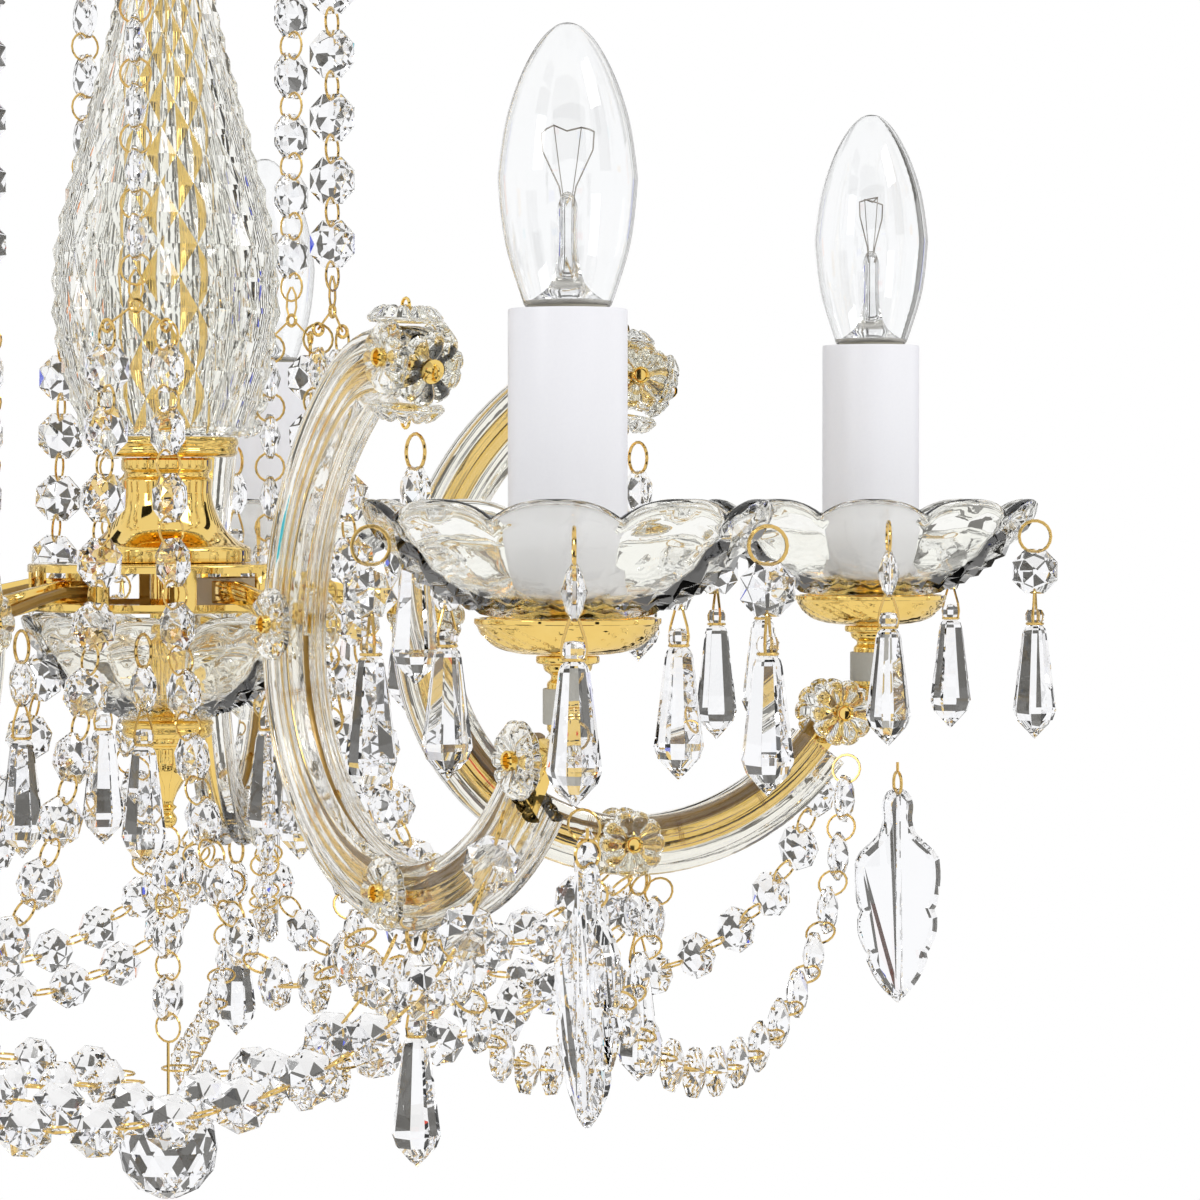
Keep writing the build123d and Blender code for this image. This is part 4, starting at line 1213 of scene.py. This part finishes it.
@dataclass
class Trimmings:
    """Strung octagons, pointed drops, leaf pendants and the ball, linked by brass wire."""

    octagon: float = 7.45
    thick: float = 6.6
    pitch: float = 18.5
    link: float = 4.4
    link_wire: float = 0.38
    drop: float = 40.0
    ball: float = 15.0
    ball_height: float = -193.0
    ball_turn: float = 27.0
    pan_drops_each: int = 5
    first_pan_drop: float = -31.0
    shapes: dict[str, bpy.types.Mesh] = field(default_factory=dict, init=False)

    def cut_shapes(self) -> None:
        """Make each shape that repeats once."""
        self.shapes = {"octagon": self.octagon_shape(),
                       "link": as_pattern("link_ring", wire_ring(self.link, self.link_wire, 16, 6)),
                       "spear": as_pattern("spear", self.drop_shape()),
                       "hook": as_pattern("hook_ring", wire_ring(4.9, 0.5, 18, 6)),
                       "collar": as_pattern("spear_collar", wire_ring(2.55, 0.4, 14, 5))}

    def octagon_shape(self) -> bpy.types.Mesh:
        """Octagon about the origin that faces X: a girdle, a star of facets and two points."""
        bm = bmesh.new()
        half = self.thick / 2.0
        for side in (-1.0, 1.0):
            for radius, height, turn in ((self.octagon, 0.6, 22.5), (self.octagon * 0.64, half * 0.6, 0.0),
                                         (0.0, half, 0.0)):
                if not radius:
                    bm.verts.new((side * height * MM, 0.0, 0.0))
                    continue
                place = (Matrix.Translation((side * height * MM, 0.0, 0.0)) @ quarter("Y")
                         @ about_axis(turn))
                bmesh.ops.create_circle(bm, segments=8, radius=radius * MM, matrix=place)
        bmesh.ops.convex_hull(bm, input=bm.verts[:])
        bmesh.ops.dissolve_limit(bm, angle_limit=0.01, verts=bm.verts[:], edges=bm.edges[:])
        return as_pattern("octagon_cut", bm)

    def drop_shape(self) -> bmesh.types.BMesh:
        """Eight-sided spear that hangs from the origin, with a groove for its wire."""
        profile = [(0.0, 0.0), (2.2, -0.3), (3.0, -1.8), (2.9, -3.4), (2.2, -4.2), (2.2, -5.0),
                   (3.2, -5.9), (3.8, -7.5), (6.75, -31.0), (5.6, -34.2), (0.0, -self.drop)]
        return lathe(profile, 8)

    def places(self, start: Vector, start_pull: Vector, end_pull: Vector, end: Vector,
               ends: tuple[float, float]) -> list[Matrix]:
        """Places at one pitch along a string that hangs in a smooth curve.

        Args:
            start: Where the string starts, in metres.
            start_pull: How the curve leaves its start, in metres.
            end_pull: How the curve reaches its end, in metres.
            end: Where the string ends, in metres.
            ends: Bare wire at the two ends, in millimetres.

        Returns:
            A matrix for each crystal, X across its face and Z along the string.
        """
        def on_curve(t: float) -> Vector:
            """Point of the curve at a share of its parameter."""
            a, b, c, d = start, start + start_pull, end + end_pull, end
            return (a * (1 - t) ** 3 + b * 3 * t * (1 - t) ** 2 + c * 3 * t * t * (1 - t) + d * t ** 3)

        fine = [on_curve(k / 600.0) for k in range(601)]
        run = [0.0]
        for a, b in zip(fine, fine[1:]):
            run.append(run[-1] + (b - a).length)
        usable = run[-1] - sum(ends) * MM
        count = round(usable / (self.pitch * MM))
        result = []
        for k in range(count):
            reach = ends[0] * MM + (k + 0.5) * usable / count
            step = next(j for j, length in enumerate(run) if length >= reach)
            here = fine[step]
            along = (fine[min(step + 2, 600)] - fine[max(step - 2, 0)]).normalized()
            across = along.cross(Vector((0.0, 0.0, 1.0)))
            if across.length < 0.001:
                across = start.cross(Vector((0.0, 0.0, 1.0)))
            across.normalize()
            third = along.cross(across)
            result.append(Matrix.Translation(here) @ basis(across, third, along))
        return result

    def strings(self) -> dict[str, list[list[Matrix]]]:
        """Every string's crystals, grouped by the CAD node that they stand for."""
        down = Vector((0.0, 0.0, -MM))
        radius, foot = LAYOUT.string_radius, LAYOUT.string_foot
        crown, hub, arm = [], [], []
        for gap in LAYOUT.gap_turns():
            crown.append(self.places(spot(radius, gap, 234.6), down * 50.0, down * -50.0,
                                     spot(radius, gap, foot), (4.0, 8.0)))
            for side in (-1, 1):
                turn = gap + side * 180.0 / LAYOUT.arms
                inward = about_axis(turn) @ Vector((-40.0 * MM, 0.0, 0.0))
                hub.append(self.places(spot(radius, gap + side * 9.0, foot - 8.0), down * 190.0,
                                       down * 45.0 + inward,
                                       spot(LAYOUT.arm_bottom[0] - 6.0, turn - side * 5.0,
                                            LAYOUT.arm_bottom[1] - 8.0), (2.0, 4.0)))
        for turn in LAYOUT.arm_turns():
            low = (LAYOUT.arm_bottom[0] + 4.0, LAYOUT.arm_bottom[1] - 4.0)
            high = (LAYOUT.arm_end[0] - 3.0, LAYOUT.arm_end[1] - 12.0)
            for (r, h), lean, pull in ((low, 4.0, 70.0), (high, 3.5, 115.0)):
                arm.append(self.places(spot(r, turn + lean, h), down * pull, down * pull,
                                       spot(r, turn + 360.0 / LAYOUT.arms - lean, h), (9.0, 9.0)))
            arm.append(self.places(spot(LAYOUT.arm_bottom[0] - 12.0, turn, LAYOUT.arm_bottom[1] - 16.0),
                                   down * 45.0, about_axis(turn) @ (Vector((55.0, 0.0, 4.0)) * MM),
                                   spot(8.0, turn, self.ball_height + self.ball + 6.0), (4.0, 8.0)))
        return {"crown_strings": crown, "hub_swags": hub, "arm_swags": arm}

    def link_between(self, a: Matrix, b: Matrix) -> Matrix:
        """Place of the ring that joins two neighbouring crystals."""
        start, end = a.translation, b.translation
        along = (end - start).normalized()
        facing = a.to_3x3().col[0] + b.to_3x3().col[0]
        across = along.cross(facing).normalized()
        third = across.cross(along)
        return Matrix.Translation((start + end) / 2.0) @ basis(third, across, along)

    def string_pieces(self) -> None:
        """Cut the octagons of every string and close a ring between each pair."""
        octagon, link = self.shapes["octagon"], self.shapes["link"]
        rings = bmesh.new()
        for node, strings in self.strings().items():
            glass = bmesh.new()
            for places in strings:
                for place in places:
                    stamp(glass, octagon, place)
                for a, b in zip(places, places[1:]):
                    stamp(rings, link, self.link_between(a, b))
                for end, way in ((places[0], -1.0), (places[-1], 1.0)):
                    stamp(rings, link, end @ upward(way * self.pitch / 2.0) @ about_axis(180.0))
            new_piece(node + "_octagons", glass, CRYSTAL, "frame", Shade.FLAT, (node,))
        new_piece("string_rings", rings, GOLD_WIRE)

    def crown_pins(self) -> None:
        """Hairpin and small thick rings where each crown string hands over to its two swags."""
        bm = bmesh.new()
        ring = as_pattern("thick_ring", wire_ring(1.7, 0.55, 14, 7))
        for gap in LAYOUT.gap_turns():
            place = Matrix.Translation(spot(LAYOUT.string_radius, gap, LAYOUT.string_foot)) @ about_axis(gap)
            for side in (-1.0, 1.0):
                leg = [(0.0, side * 0.3, 7.8), (0.0, side * 1.7, 5.5), (0.0, side * 2.0, 1.5),
                       (0.0, side * 1.0, -1.4)]
                wire_along(bm, [place @ (Vector(p) * MM) for p in leg], 0.36, 6)
                end = spot(LAYOUT.string_radius, gap + side * 9.0, LAYOUT.string_foot - 8.0)
                start = place @ (Vector((0.0, side * 1.2, -2.6)) * MM)
                wire_along(bm, [start, start.lerp(end, 0.5), end], 0.36, 6)
                stamp(bm, ring, Matrix.Translation(end) @ about_axis(gap + 60.0))
            stamp(bm, ring, place @ upward(-2.4) @ about_axis(90.0))
        discard(ring)
        new_piece("crown_pins", bm, GOLD_WIRE)

    def hanging(self, place: Matrix, glass: bmesh.types.BMesh, wire: bmesh.types.BMesh) -> None:
        """Add one octagon with a spear below it, hung by wires from a hook.

        Args:
            place: The hook's place, X outward.
            glass: The bmesh that takes the crystals.
            wire: The bmesh that takes the wires.
        """
        stamp(glass, self.shapes["octagon"], place @ upward(-11.25) @ quarter("Z"))
        stamp(glass, self.shapes["spear"], place @ upward(-22.75))
        stamp(wire, self.shapes["hook"], place @ upward(-0.6))
        stamp(wire, self.shapes["collar"], place @ upward(-27.35) @ quarter("X"))
        for side in (-1.0, 1.0):
            line = [(0.2, -16.4), (1.2, -18.0), (2.6, -22.4), (3.0, -25.0), (2.6, -27.3)]
            wire_along(wire, [place @ (Vector((0.0, side * y, z)) * MM) for y, z in line], 0.4, 6)

    def pan_drops(self) -> None:
        """Hang five drops from each candle pan, each on its own body."""
        for number, turn in enumerate(LAYOUT.arm_turns(), start=1):
            for k in range(self.pan_drops_each):
                outward = turn + self.first_pan_drop + 360.0 / self.pan_drops_each * k
                hook = LAYOUT.candle(turn) + about_axis(outward) @ (Vector((51.5, 0.0, -11.0)) * MM)
                glass, wire = bmesh.new(), bmesh.new()
                self.hanging(Matrix.Translation(hook) @ about_axis(outward), glass, wire)
                body = f"pan_drop_{number}_{k + 1}"
                new_piece(f"spear_{number}_{k + 1}", glass, CRYSTAL, body, Shade.FLAT,
                          (body,))
                new_piece(f"spear_wire_{number}_{k + 1}", wire, GOLD_WIRE, body)

    def fixed_drops(self) -> None:
        """Hang the drops under the hub bowl, the arms and their curled tips."""
        glass, wire = bmesh.new(), bmesh.new()
        hooks = [(43.0, gap, -43.0) for gap in LAYOUT.gap_turns()]
        hooks += [(145.0, turn, -116.0) for turn in LAYOUT.arm_turns()]
        hooks += [(TIP_HOOK[0], turn, TIP_HOOK[1]) for turn in LAYOUT.arm_turns()]
        for radius, turn, height in hooks:
            self.hanging(Matrix.Translation(spot(radius, turn, height)), glass, wire)
        new_piece("hung_spears", glass, CRYSTAL, "frame", Shade.FLAT, ("hung_drops",))
        new_piece("hung_spear_wires", wire, GOLD_WIRE)

    def leaf_shape(self) -> bmesh.types.BMesh:
        """Lobed pendant in the XZ plane, bevelled on both faces, hanging from the origin."""
        half = flowing([(0.0, 0.0), (3.4, -1.6), (4.9, -5.5), (4.6, -10.5), (6.6, -15.0), (11.8, -19.6)],
                       3) + flowing([(13.6, -22.4), (14.0, -28.5), (13.0, -36.0), (11.9, -38.2)], 3)
        half += flowing([(12.9, -40.6), (12.7, -45.5), (10.6, -50.4), (9.4, -51.8)], 3)
        half += flowing([(9.8, -53.8), (7.6, -58.6), (4.0, -63.4), (0.0, -67.0)], 3)
        ring = [Vector((r, 0.0, h)) * MM for r, h in half]
        ring += [Vector((-p.x, 0.0, p.z)) for p in reversed(ring[1:-1])]
        bm = bmesh.new()
        bmesh.ops.contextual_create(bm, geom=outline(bm, ring, True))
        bmesh.ops.translate(bm, verts=bm.verts, vec=(0.0, 0.9 * MM, 0.0))
        made = bmesh.ops.extrude_face_region(bm, geom=bm.faces[:])
        moved = [g for g in made["geom"] if isinstance(g, bmesh.types.BMVert)]
        bmesh.ops.translate(bm, verts=moved, vec=(0.0, -1.8 * MM, 0.0))
        bmesh.ops.recalc_face_normals(bm, faces=bm.faces)
        broad = [f for f in bm.faces if len(f.verts) > 4]
        for face in broad:
            bmesh.ops.inset_region(bm, faces=[face], thickness=2.2 * MM, depth=1.4 * MM,
                                   use_even_offset=True)
        for face in [f for f in bm.faces if len(f.verts) > 4]:
            side = math.copysign(1.0, face.normal.y)
            bmesh.ops.bisect_plane(bm, geom=[face, *face.edges, *face.verts], dist=1e-6,
                                   plane_co=(0, 0, 0), plane_no=(1, 0, 0))
            ridge = [v for v in bm.verts if abs(v.co.x) < 1e-6 and v.co.y * side > 2.2 * MM]
            for vert in ridge:
                vert.co.y += side * 0.75 * MM
        bmesh.ops.triangulate(bm, faces=[f for f in bm.faces if len(f.verts) > 4],
                              ngon_method="EAR_CLIP")
        return bm

    def leaf_pendants(self) -> None:
        """Hang a leaf pendant in the plane of each arm, on its own body."""
        leaf = as_pattern("leaf_cut", self.leaf_shape())
        ring = as_pattern("leaf_ring", wire_ring(3.6, 0.5, 16, 6))
        for number, turn in enumerate(LAYOUT.arm_turns(), start=1):
            place = Matrix.Translation(spot(229.0, turn, -90.0)) @ about_axis(turn)
            glass, wire = bmesh.new(), bmesh.new()
            stamp(glass, leaf, place)
            stamp(wire, ring, place @ upward(1.4) @ quarter("Z"))
            wire_along(wire, [place @ (Vector((0.0, 0.0, h)) * MM) for h in (4.6, 6.4, 8.0)], 0.5, 6)
            body = f"leaf_pendant_{number}"
            new_piece(f"leaf_glass_{number}", glass, CRYSTAL, body, Shade.FLAT, (body,))
            new_piece(f"leaf_wire_{number}", wire, GOLD_WIRE, body)
        discard(leaf, ring)

    def bottom_ball(self) -> None:
        """Cut the ball and the octagons that hang it from the finial."""
        bm = bmesh.new()
        middle = metres(0.0, 0.0, self.ball_height)
        for k, lift in enumerate((-78.0, -52.0, -26.0, 0.0, 26.0, 52.0, 78.0)):
            turn = math.radians(lift)
            place = (Matrix.Translation(middle) @ upward(self.ball * math.sin(turn))
                     @ about_axis(15.0 * (k % 2)))
            bmesh.ops.create_circle(bm, segments=12, radius=self.ball * math.cos(turn) * MM,
                                    matrix=place)
        bmesh.ops.convex_hull(bm, input=bm.verts[:])
        wire = bmesh.new()
        heights = [-111.0 - self.pitch * k for k in range(3)]
        facing = about_axis(self.ball_turn)
        for height in heights:
            stamp(bm, self.shapes["octagon"], Matrix.Translation(metres(0, 0, height)) @ facing)
        for height in (-101.5, -120.25, -138.75, -157.0):
            stamp(wire, self.shapes["link"], Matrix.Translation(metres(0, 0, height)) @ facing)
        wire_along(wire, [metres(0, 0, h) for h in (-161.5, -170.0, -178.5)], 0.5, 6)
        new_piece("ball_and_octagons", bm, CRYSTAL, "frame", Shade.FLAT, ("bottom_ball",))
        new_piece("ball_wires", wire, GOLD_WIRE)

    def build(self) -> None:
        """Build every hanging crystal."""
        self.cut_shapes()
        self.string_pieces()
        self.crown_pins()
        self.pan_drops()
        self.fixed_drops()
        self.leaf_pendants()
        self.bottom_ball()
        discard(*self.shapes.values())


# ------------------------------------------------------------------ studio


# Middle of the chandelier, which the cards and the lamps face.
MIDDLE = Vector((0.0, 0.0, -0.25))
# Each card is (azimuth from the camera, elevation, width, height, colour).
# Dark cards stand above and below the level of the camera, so that facets turn black and white.
DARK_CARDS = (
    (0.0, 27.0, 1.9, 0.62, "0B0A09"), (0.0, -29.0, 1.9, 0.62, "0B0A09"),
    (58.0, 24.0, 0.7, 0.9, "0F0D0B"), (-58.0, -24.0, 0.7, 0.9, "0F0D0B"),
    (52.0, -34.0, 0.8, 0.4, "0F0D0B"), (-54.0, 36.0, 0.8, 0.4, "0F0D0B"),
    (112.0, 30.0, 0.35, 1.1, "12100D"), (-112.0, -28.0, 0.35, 1.1, "12100D"),
    (150.0, -34.0, 0.9, 0.34, "12100D"), (-150.0, 38.0, 0.9, 0.34, "12100D"),
    (30.0, 0.0, 0.16, 0.5, "181512"), (-34.0, 2.0, 0.13, 0.5, "181512"))

# Small coloured cards, seen only in the glass: painted reflections that put the thin red, blue and amber
# flashes of cut crystal into its facets, standing in for the crystal's dispersion.
DISPERSION_STAND_IN_CARDS = (
    (22.0, 13.0, 0.34, 0.10, "2348E0"), (-22.0, 12.0, 0.34, 0.10, "F07018"),
    (18.0, -14.0, 0.34, 0.10, "E03A18"), (-24.0, -13.0, 0.34, 0.10, "1C8FD8"),
    (84.0, 12.0, 0.26, 0.12, "E8B020"), (-86.0, -10.0, 0.26, 0.12, "2AB8C8"),
    (128.0, 2.0, 0.16, 0.30, "3A50D8"), (-132.0, 4.0, 0.16, 0.30, "F08A28"))


def away(azimuth: float, elevation: float) -> Vector:
    """Unit vector from the chandelier, from two angles in degrees."""
    a, e = math.radians(azimuth), math.radians(elevation)
    return Vector((math.cos(a) * math.cos(e), math.sin(a) * math.cos(e), math.sin(e)))


@dataclass
class Studio:
    """Pale floor, white surround, soft lights and the dark cards that give glass its edges."""

    lens: float = 120.8
    distance: float = 1.2
    azimuth: float = -27.0
    height: float = -0.262
    yaw: float = 6.14
    pitch: float = -1.44
    floor: float = -1.5
    slats: int = 5
    slat_start: float = 15.0
    slat_step: float = 8.5
    slat_width: float = 0.15
    slat_colour: str = "55534E"

    def camera(self) -> None:
        """Stand the camera level with the pan rims and turn it towards the outer candles."""
        data = bpy.data.cameras.new("camera")
        data.lens, data.sensor_width, data.clip_start, data.clip_end = self.lens, 36.0, 0.02, 60.0
        data.dof.use_dof = False
        camera = bpy.data.objects.new("camera", data)
        turn = math.radians(self.azimuth)
        camera.location = (self.distance * math.cos(turn), self.distance * math.sin(turn), self.height)
        camera.rotation_euler = (math.radians(90.0 + self.pitch), 0.0,
                                 turn + math.pi / 2 - math.radians(self.yaw))
        bpy.context.scene.collection.objects.link(camera)
        bpy.context.scene.camera = camera

    def surround(self) -> None:
        """White world, seen as it is."""
        world = bpy.data.worlds.new("surround")
        world.use_nodes = True
        world.node_tree.nodes.clear()
        light = add_node(world.node_tree, "ShaderNodeBackground", None, Color=linear("FFFFFF"),
                         Strength=1.0)
        add_node(world.node_tree, "ShaderNodeOutputWorld", None, Surface=light.outputs["Background"])
        scene = bpy.context.scene
        scene.world = world
        scene.view_settings.view_transform = "Standard"
        scene.view_settings.look = "None"
        scene.cycles.max_bounces = 20
        scene.cycles.transmission_bounces = 18
        scene.cycles.glossy_bounces = 8
        scene.cycles.diffuse_bounces = 3
        scene.cycles.blur_glossy = 0.3
        scene.cycles.use_denoising = True

    def card(self, name: str, size: tuple[float, float], azimuth: float, elevation: float,
             distance: float, colour: str) -> None:
        """Hang a card that faces the chandelier and that the camera doesn't see.

        Args:
            name: The card's name.
            size: Width and height in metres.
            azimuth: Direction from the chandelier, in degrees.
            elevation: Rise from the chandelier, in degrees.
            distance: Distance in metres.
            colour: The card's colour as hex.
        """
        bm = bmesh.new()
        bmesh.ops.create_grid(bm, x_segments=1, y_segments=1, size=0.5,
                              matrix=Matrix.Diagonal((size[0], size[1], 1.0, 1.0)))
        out = away(azimuth, elevation)
        turn = out.to_track_quat("Z", "Y").to_matrix().to_4x4()
        bm.transform(Matrix.Translation(out * distance + MIDDLE) @ turn)
        card = self.staged(name, bm, Finish("felt_" + name, colour, 0.9, grain_mm=20.0))
        card.visible_camera = False
        card.visible_shadow = False
        card.visible_diffuse = False

    def staged(self, name: str, bm: bmesh.types.BMesh, finish: Finish) -> bpy.types.Object:
        """Turn a bmesh into part of the stage, which isn't part of the chandelier."""
        mesh = bpy.data.meshes.new(name)
        bm.to_mesh(mesh)
        bm.free()
        mesh.materials.append(finish.material())
        piece = bpy.data.objects.new(name, mesh)
        bpy.context.scene.collection.objects.link(piece)
        return piece

    def lamp(self, name: str, azimuth: float, elevation: float, size: float, power: float) -> None:
        """Hang a soft square light that faces the chandelier."""
        data = bpy.data.lights.new(name, "AREA")
        data.size, data.energy = size, power
        lamp = bpy.data.objects.new(name, data)
        out = away(azimuth, elevation)
        lamp.location = out * 1.8 + MIDDLE
        lamp.rotation_euler = out.to_track_quat("Z", "Y").to_euler()
        lamp.visible_camera = False
        bpy.context.scene.collection.objects.link(lamp)

    def floor_plane(self) -> None:
        """Lay the pale floor well below the chandelier."""
        bm = bmesh.new()
        bmesh.ops.create_grid(bm, x_segments=1, y_segments=1, size=3.0,
                              matrix=Matrix.Translation((0.0, 0.0, self.floor)))
        self.staged("studio_floor", bm, Finish("pale_floor", "F4F3F1", 0.85, grain_mm=40.0,
                                               second_colour="F1F0EE"))

    def build(self) -> None:
        """Set up the camera, the surround, the cards and the lights."""
        self.camera()
        self.surround()
        self.floor_plane()
        # The coloured cards among these are painted reflections that stand in for the crystal's dispersion.
        for k, (lean, elevation, width, height, colour) in enumerate(DARK_CARDS + DISPERSION_STAND_IN_CARDS):
            self.card(f"card_{k + 1}", (width, height), self.azimuth + lean, elevation, 2.0, colour)
        behind = self.azimuth + 180.0 - self.yaw
        for k in range(self.slats):
            lean = self.slat_start + self.slat_step * k
            for side, across, up in ((-1.0, "left", "low"), (1.0, "right", "high")):
                self.card(f"slat_{across}_{k + 1}", (self.slat_width, 2.0), behind + side * lean, 0.0,
                          2.2, self.slat_colour)
                self.card(f"slat_{up}_{k + 1}", (1.5, self.slat_width), behind, side * (lean + 1.0),
                          2.25, self.slat_colour)
        self.lamp("key_light", self.azimuth + 52.0, 40.0, 0.6, 9.0)
        self.lamp("fill_light", self.azimuth - 50.0, 22.0, 0.5, 5.0)


def main() -> None:
    """Build the chandelier's sub-assemblies in order and set up the studio."""
    logging.basicConfig(level=logging.INFO, format="%(name)s: %(message)s")
    candles = [(LAYOUT.candle(turn), turn) for turn in LAYOUT.arm_turns()]
    ColumnGlass().build()
    ScallopedDish("candle_pans_pressed", "candle_pans").build(candles)
    ScallopedDish("crown_dish_pressed", "crown_dish", bore=5.25).build([(metres(0, 0, 245.6), 0.0)])
    ScallopedDish("hub_bowl_pressed", "hub_bowl", rim=43.0, depth=31.0, foot=12.0,
                  bore=5.25).build([(metres(0, 0, -34.0), 0.0)])
    TurnedBrass().build()
    HubRing().build()
    HangingEye().build()
    Arms().build()
    Rosettes().build(SIDE_ROSETTES, TIP_ROSETTES)
    Candles().build()
    Trimmings().build()
    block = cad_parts["terminal_block"]
    block.data.materials.clear()
    block.data.materials.append(HOLDER_WHITE.material())
    Studio().build()


if __name__ == "__main__":
    main()
